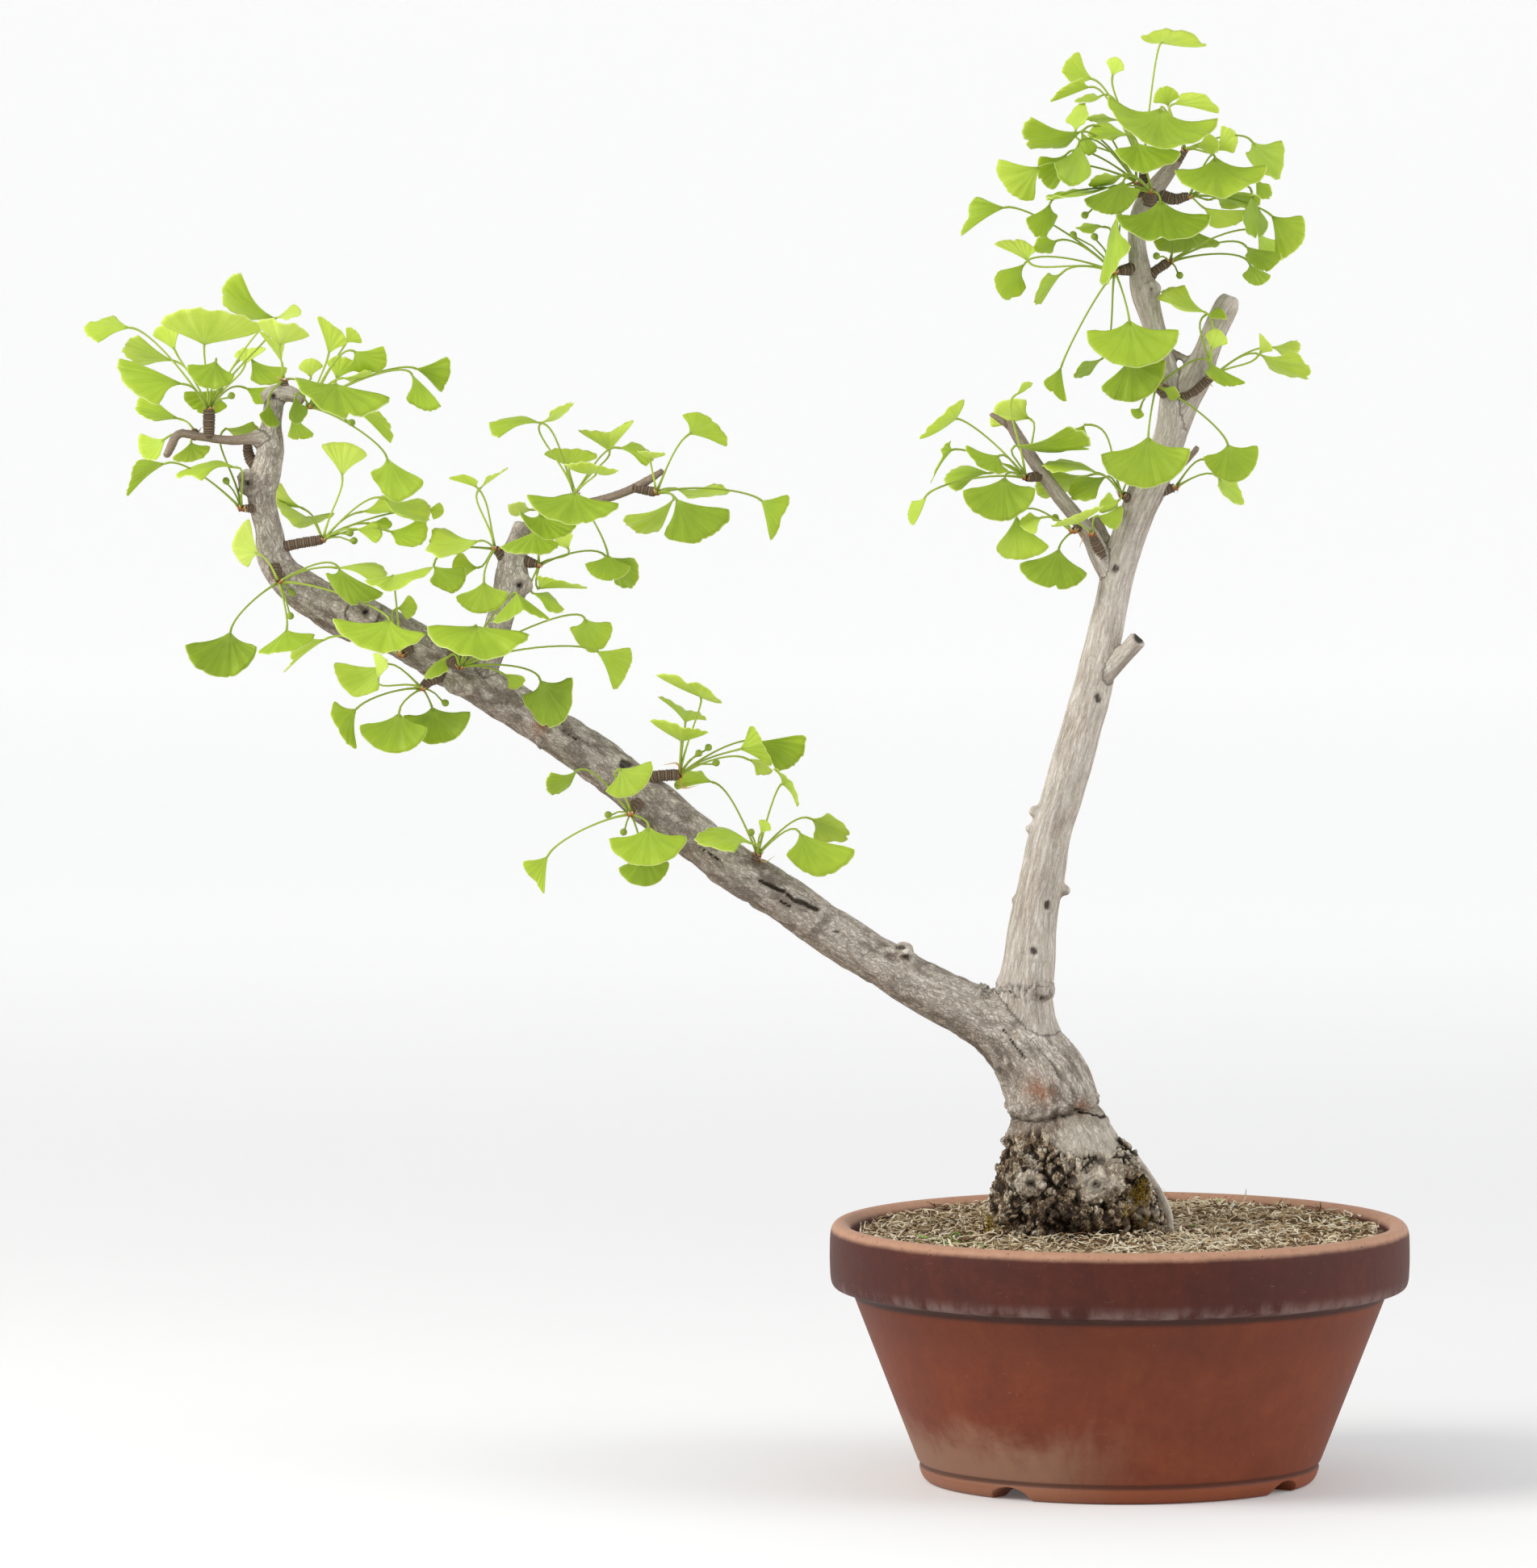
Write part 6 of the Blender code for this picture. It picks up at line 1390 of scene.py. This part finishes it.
def build_sprays():
    """One piece for each bunch, from its own seeded draws. Hanging leaves are painted deeper green than
    rising ones, as painted shade and light."""
    leaf_paint = living_leaf()
    for number, (name, tip, leaves) in enumerate(SPRAYS):
        rng = np.random.default_rng(100 + number)
        hub = np.array(tip, dtype=float)
        shape = Shape()
        for leaf in leaves:
            corners = leaf_corners(leaf)
            axis = unit(corners[2] - corners[0])
            width = np.linalg.norm(corners[3] - corners[1])
            # Painted light and shade: leaves that point up are lighter and hanging ones deeper; small young
            # leaves are also lighter, and each leaf varies at random.
            tone = 0.58 + 0.28 * axis[2] + 0.12 * (26.0 - width) / 26.0 + rng.uniform(-0.2, 0.3)
            tone = min(1.0, max(0.0, tone))
            add_blade(shape, corners, rng, tone)
            add_stalk(shape, hub, corners, tone)
        shape.piece("leaves_" + name, leaf_paint, ("spray_" + name,), "leaf_green")


build_sprays()


# The buds. Each bunch comes out of a ring of small papery scales, orange at the root and tan at the tip, and
# some buds bear young seeds as well: green knobs on stalks of their own, between the leaf stalks.
# Both lists give x, z as seen from the front, of the tip of a large curled scale and of the middle of a seed.
CURLED_SCALES = (
    (-235, 372), (-220, 361), (-180, 324), (47, 568), (29, 513), (-21, 486), (-452, 503), (-431, 470),
    (-362, 413), (-249, 350))
SEEDS = (
    (-462, 519), (-459, 563), (-397, 549), (-396, 488), (-398, 492), (-428, 461), (-429, 449), (-265, 346),
    (-257, 337), (-213, 381), (-218, 378), (-209, 373), (-191, 337), (-25, 646), (-19, 656), (-14, 645),
    (-465, 566), (-344, 437), (-349, 404), (-64, 529), (-34, 500), (4, 520), (18, 635), (30, 625))
SCALES_OF_A_BUD = 7


def bud_scale():
    """Papery scale: rust-orange at the root, tan further up, with a dry pale tip."""
    paint = Paint("bud_scale", roughness=0.7, specular_ior_level=0.25)
    fine = paint.noise(paint.place(), 1.2, 3.0, 0.6)
    colour = paint.ramp(paint.value("rise") + (fine - 0.5) * 0.3, (
        (0.0, (0.2, 0.06, 0.02)), (0.35, (0.47, 0.19, 0.055)), (0.7, (0.62, 0.4, 0.17)),
        (1.0, (0.8, 0.68, 0.42))))
    return paint.finish(colour, None, fine, depth=0.2, strength=0.4)


def add_scales(shape, rng, root, length, curl):
    """Flattened strands, wide below the middle, that rise from their root and curl out to all sides."""
    count = len(root)
    turn = (np.arange(count) * 2.4 + rng.uniform(-0.4, 0.4, count))[:, None]
    t = np.linspace(0.0, 1.0, 6)
    lean = 0.25 + curl[:, None] * t
    out = 1.1 + np.cumsum(np.sin(lean), axis=1) * length[:, None] / 5.0
    rise = -2.2 + np.cumsum(np.cos(lean), axis=1) * length[:, None] / 5.0
    middle = root[:, None] + np.stack((out * np.cos(turn), out * np.sin(turn), rise), axis=-1)
    across = np.stack((-np.sin(turn) + 0.0 * t, np.cos(turn) + 0.0 * t, 0.0 * lean), axis=-1)
    up = np.stack((np.cos(lean) * np.cos(turn), np.cos(lean) * np.sin(turn), -np.sin(lean)), axis=-1)
    taper = np.array((0.7, 1.0, 1.0, 0.8, 0.5, 0.1))
    width = length[:, None] * rng.uniform(0.2, 0.32, count)[:, None] * taper
    thick = 0.2 * np.array((1.0, 1.0, 0.9, 0.8, 0.7, 0.5)) + 0.0 * width
    shape.strands(middle, across, up, width, thick, sides=6, rise=np.broadcast_to(t, width.shape))


def nearest_bud(place):
    """Tip of the bud that is nearest to each place."""
    tips = np.array([spray[1] for spray in SPRAYS], dtype=float)
    return tips[np.argmin(np.linalg.norm(place[:, None] - tips, axis=2), axis=1)]


def build_scales(rng):
    """Seven scales around each bud, and the larger curled ones where they show."""
    shape = Shape()
    root = np.repeat(np.array([spray[1] for spray in SPRAYS], dtype=float), SCALES_OF_A_BUD, axis=0)
    add_scales(shape, rng, root, rng.uniform(2.4, 4.4, len(root)), rng.uniform(0.2, 1.1, len(root)))
    place = np.array([on_sight_line(x, -9.0, z) for x, z in CURLED_SCALES])
    bud = nearest_bud(place)
    span = (place - bud)[:, None]
    t = np.linspace(0.0, 1.15, 7)[:, None]
    sag = np.cross(span, np.array((0.0, 1.0, 0.0))) * rng.choice((-0.45, 0.45), len(place))[:, None, None]
    middle = bud[:, None] + span * t + sag * np.sin(math.pi * np.minimum(t, 1.1))
    across = np.broadcast_to(np.array((0.3, 0.9, 0.2)), middle.shape)
    up = np.cross(np.gradient(middle, axis=1), across)
    up /= np.linalg.norm(up, axis=2, keepdims=True)
    width = 1.15 * np.array((0.6, 1.0, 1.0, 1.0, 0.9, 0.7, 0.2)) * np.ones((len(place), 1))
    rise = 0.35 + 0.6 * t.T * np.ones((len(place), 1))
    shape.strands(middle, across, up, width, 0.25 * width, sides=6, rise=rise)
    shape.piece("bud_scales", bud_scale(), ("tree_wood",), "bark", outward=False)


def build_seeds(rng):
    """Strands that arch from the nearest bud as a thin stalk and swell into a round knob at the end."""
    knob = np.array([on_sight_line(x, -8.0, z) for x, z in SEEDS])
    bud = nearest_bud(knob)
    span = knob - bud
    length = np.linalg.norm(span, axis=1)[:, None, None]
    t = 1.0 - np.array((1.0, 0.7, 0.45))[:, None]
    line = bud[:, None] + span[:, None] * t + np.array((0.0, 0.0, 0.1)) * length * (t * (1.0 - t) * 4.0)
    head = knob[:, None] + span[:, None] / length * np.array((-2.4, -1.6, -0.6, 0.6, 1.5, 1.9))[:, None]
    middle = np.concatenate((line, head), axis=1)
    ahead = np.repeat((span / length[:, 0])[:, None], middle.shape[1], axis=1)
    across = np.cross(ahead, np.array((0.2, 0.9, 0.1)))
    across /= np.linalg.norm(across, axis=2, keepdims=True)
    swell = np.array((0.6, 0.5, 0.45, 0.5, 1.2, 1.9, 1.9, 1.2, 0.3)) * np.ones((len(knob), 1))
    tone = rng.uniform(0.05, 0.4, len(knob))
    shape = Shape()
    shape.strands(middle, across, np.cross(across, ahead), swell, swell, sides=10, tone=tone, stalk=1.0)
    shape.piece("young_seeds", bpy.data.materials["living_leaf"], (), "leaf_green", outward=False)


bud_draws = np.random.default_rng(11)
build_scales(bud_draws)
build_seeds(bud_draws)


# The studio. A pale round floor that curves up into a pale wall on all sides, which glows as painted light,
# brighter behind the tree; a large soft light above on the left, a weaker one on the right, and even daylight
# from all around.
# The camera stands inside the wall.
FLOOR_RADIUS, WALL_RADIUS, WALL_TOP = 6500.0, 8500.0, 6000.0
WALL_COLUMNS = 96


def studio_paint():
    """Matt studio paper with a faint mottle, lit from behind beyond the tree and less on the other side."""
    paint = Paint("studio_paper", roughness=0.9, specular_ior_level=0.1, emission_strength=0.34)
    where = paint.place()
    cloud = paint.noise(where, 160.0, 3.0, 0.5)
    # Painted light: the paper glows by itself, more toward the back beyond the tree.
    glow = paint.parts(where)[1].band(600.0, 3600.0)
    colour = paint.mix(cloud * 0.12, (0.87, 0.87, 0.865), (0.82, 0.82, 0.815))
    shine = paint.mix(glow, (0.2, 0.2, 0.2), (1.0, 1.0, 1.0))
    paint.tree.links.new(shine.socket, paint.shader.inputs["Emission Color"])
    return paint.finish(colour)


def build_backdrop():
    """Turned sheet: flat under the bowl, then a quarter circle, then straight up."""
    bend = np.linspace(0.0, math.pi / 2, 16)
    sweep = WALL_RADIUS - FLOOR_RADIUS
    radius = np.concatenate(((0.0, 600.0, 2500.0), FLOOR_RADIUS + sweep * np.sin(bend), (WALL_RADIUS,)))
    height = np.concatenate(((0.0, 0.0, 0.0), sweep * (1.0 - np.cos(bend)), (WALL_TOP,)))
    radius, height = radius[:, None], height[:, None]
    turn = np.linspace(0.0, 2.0 * math.pi, WALL_COLUMNS, endpoint=False)
    shape = Shape()
    grid = np.stack((radius * np.cos(turn), radius * np.sin(turn), height + 0.0 * turn), axis=-1)
    shape.sheet(grid, around=True)
    mesh = bpy.data.meshes.new("backdrop")
    mesh.from_pydata(shape.points[0] * MM, [], shape.faces[0].tolist())
    mesh.flip_normals()
    mesh.polygons.foreach_set("use_smooth", np.ones(len(mesh.polygons), dtype=bool))
    mesh.materials.append(studio_paint())
    backdrop = bpy.data.objects.new("backdrop", mesh)
    bpy.context.scene.collection.objects.link(backdrop)


def soft_light(name, place, aim, size, power, colour):
    """Square area light at a place, turned toward a point, both in metres."""
    light = bpy.data.lights.new(name, "AREA")
    light.shape = "SQUARE"
    light.size = size
    light.energy = power
    light.color = colour
    lamp = bpy.data.objects.new(name, light)
    bpy.context.scene.collection.objects.link(lamp)
    way = np.array(aim) - np.array(place)
    flat = math.hypot(way[0], way[1])
    lamp.location = place
    lamp.rotation_euler = (math.atan2(flat, -way[2]), 0.0, math.atan2(-way[0], way[1]))


build_backdrop()
soft_light("key", place=(-2.3, -1.0, 1.9), aim=(-0.15, 0.0, 0.35), size=1.6, power=62.0,
           colour=(1.0, 0.985, 0.96))
soft_light("fill", place=(2.3, -0.6, 1.3), aim=(-0.1, 0.0, 0.35), size=1.8, power=30.0,
           colour=(0.97, 0.985, 1.0))
world = bpy.data.worlds.new("daylight")
bpy.context.scene.world = world
world.use_nodes = True
daylight = world.node_tree.nodes["Background"].inputs
daylight["Color"].default_value = (0.97, 0.98, 1.0, 1.0)
daylight["Strength"].default_value = 0.5
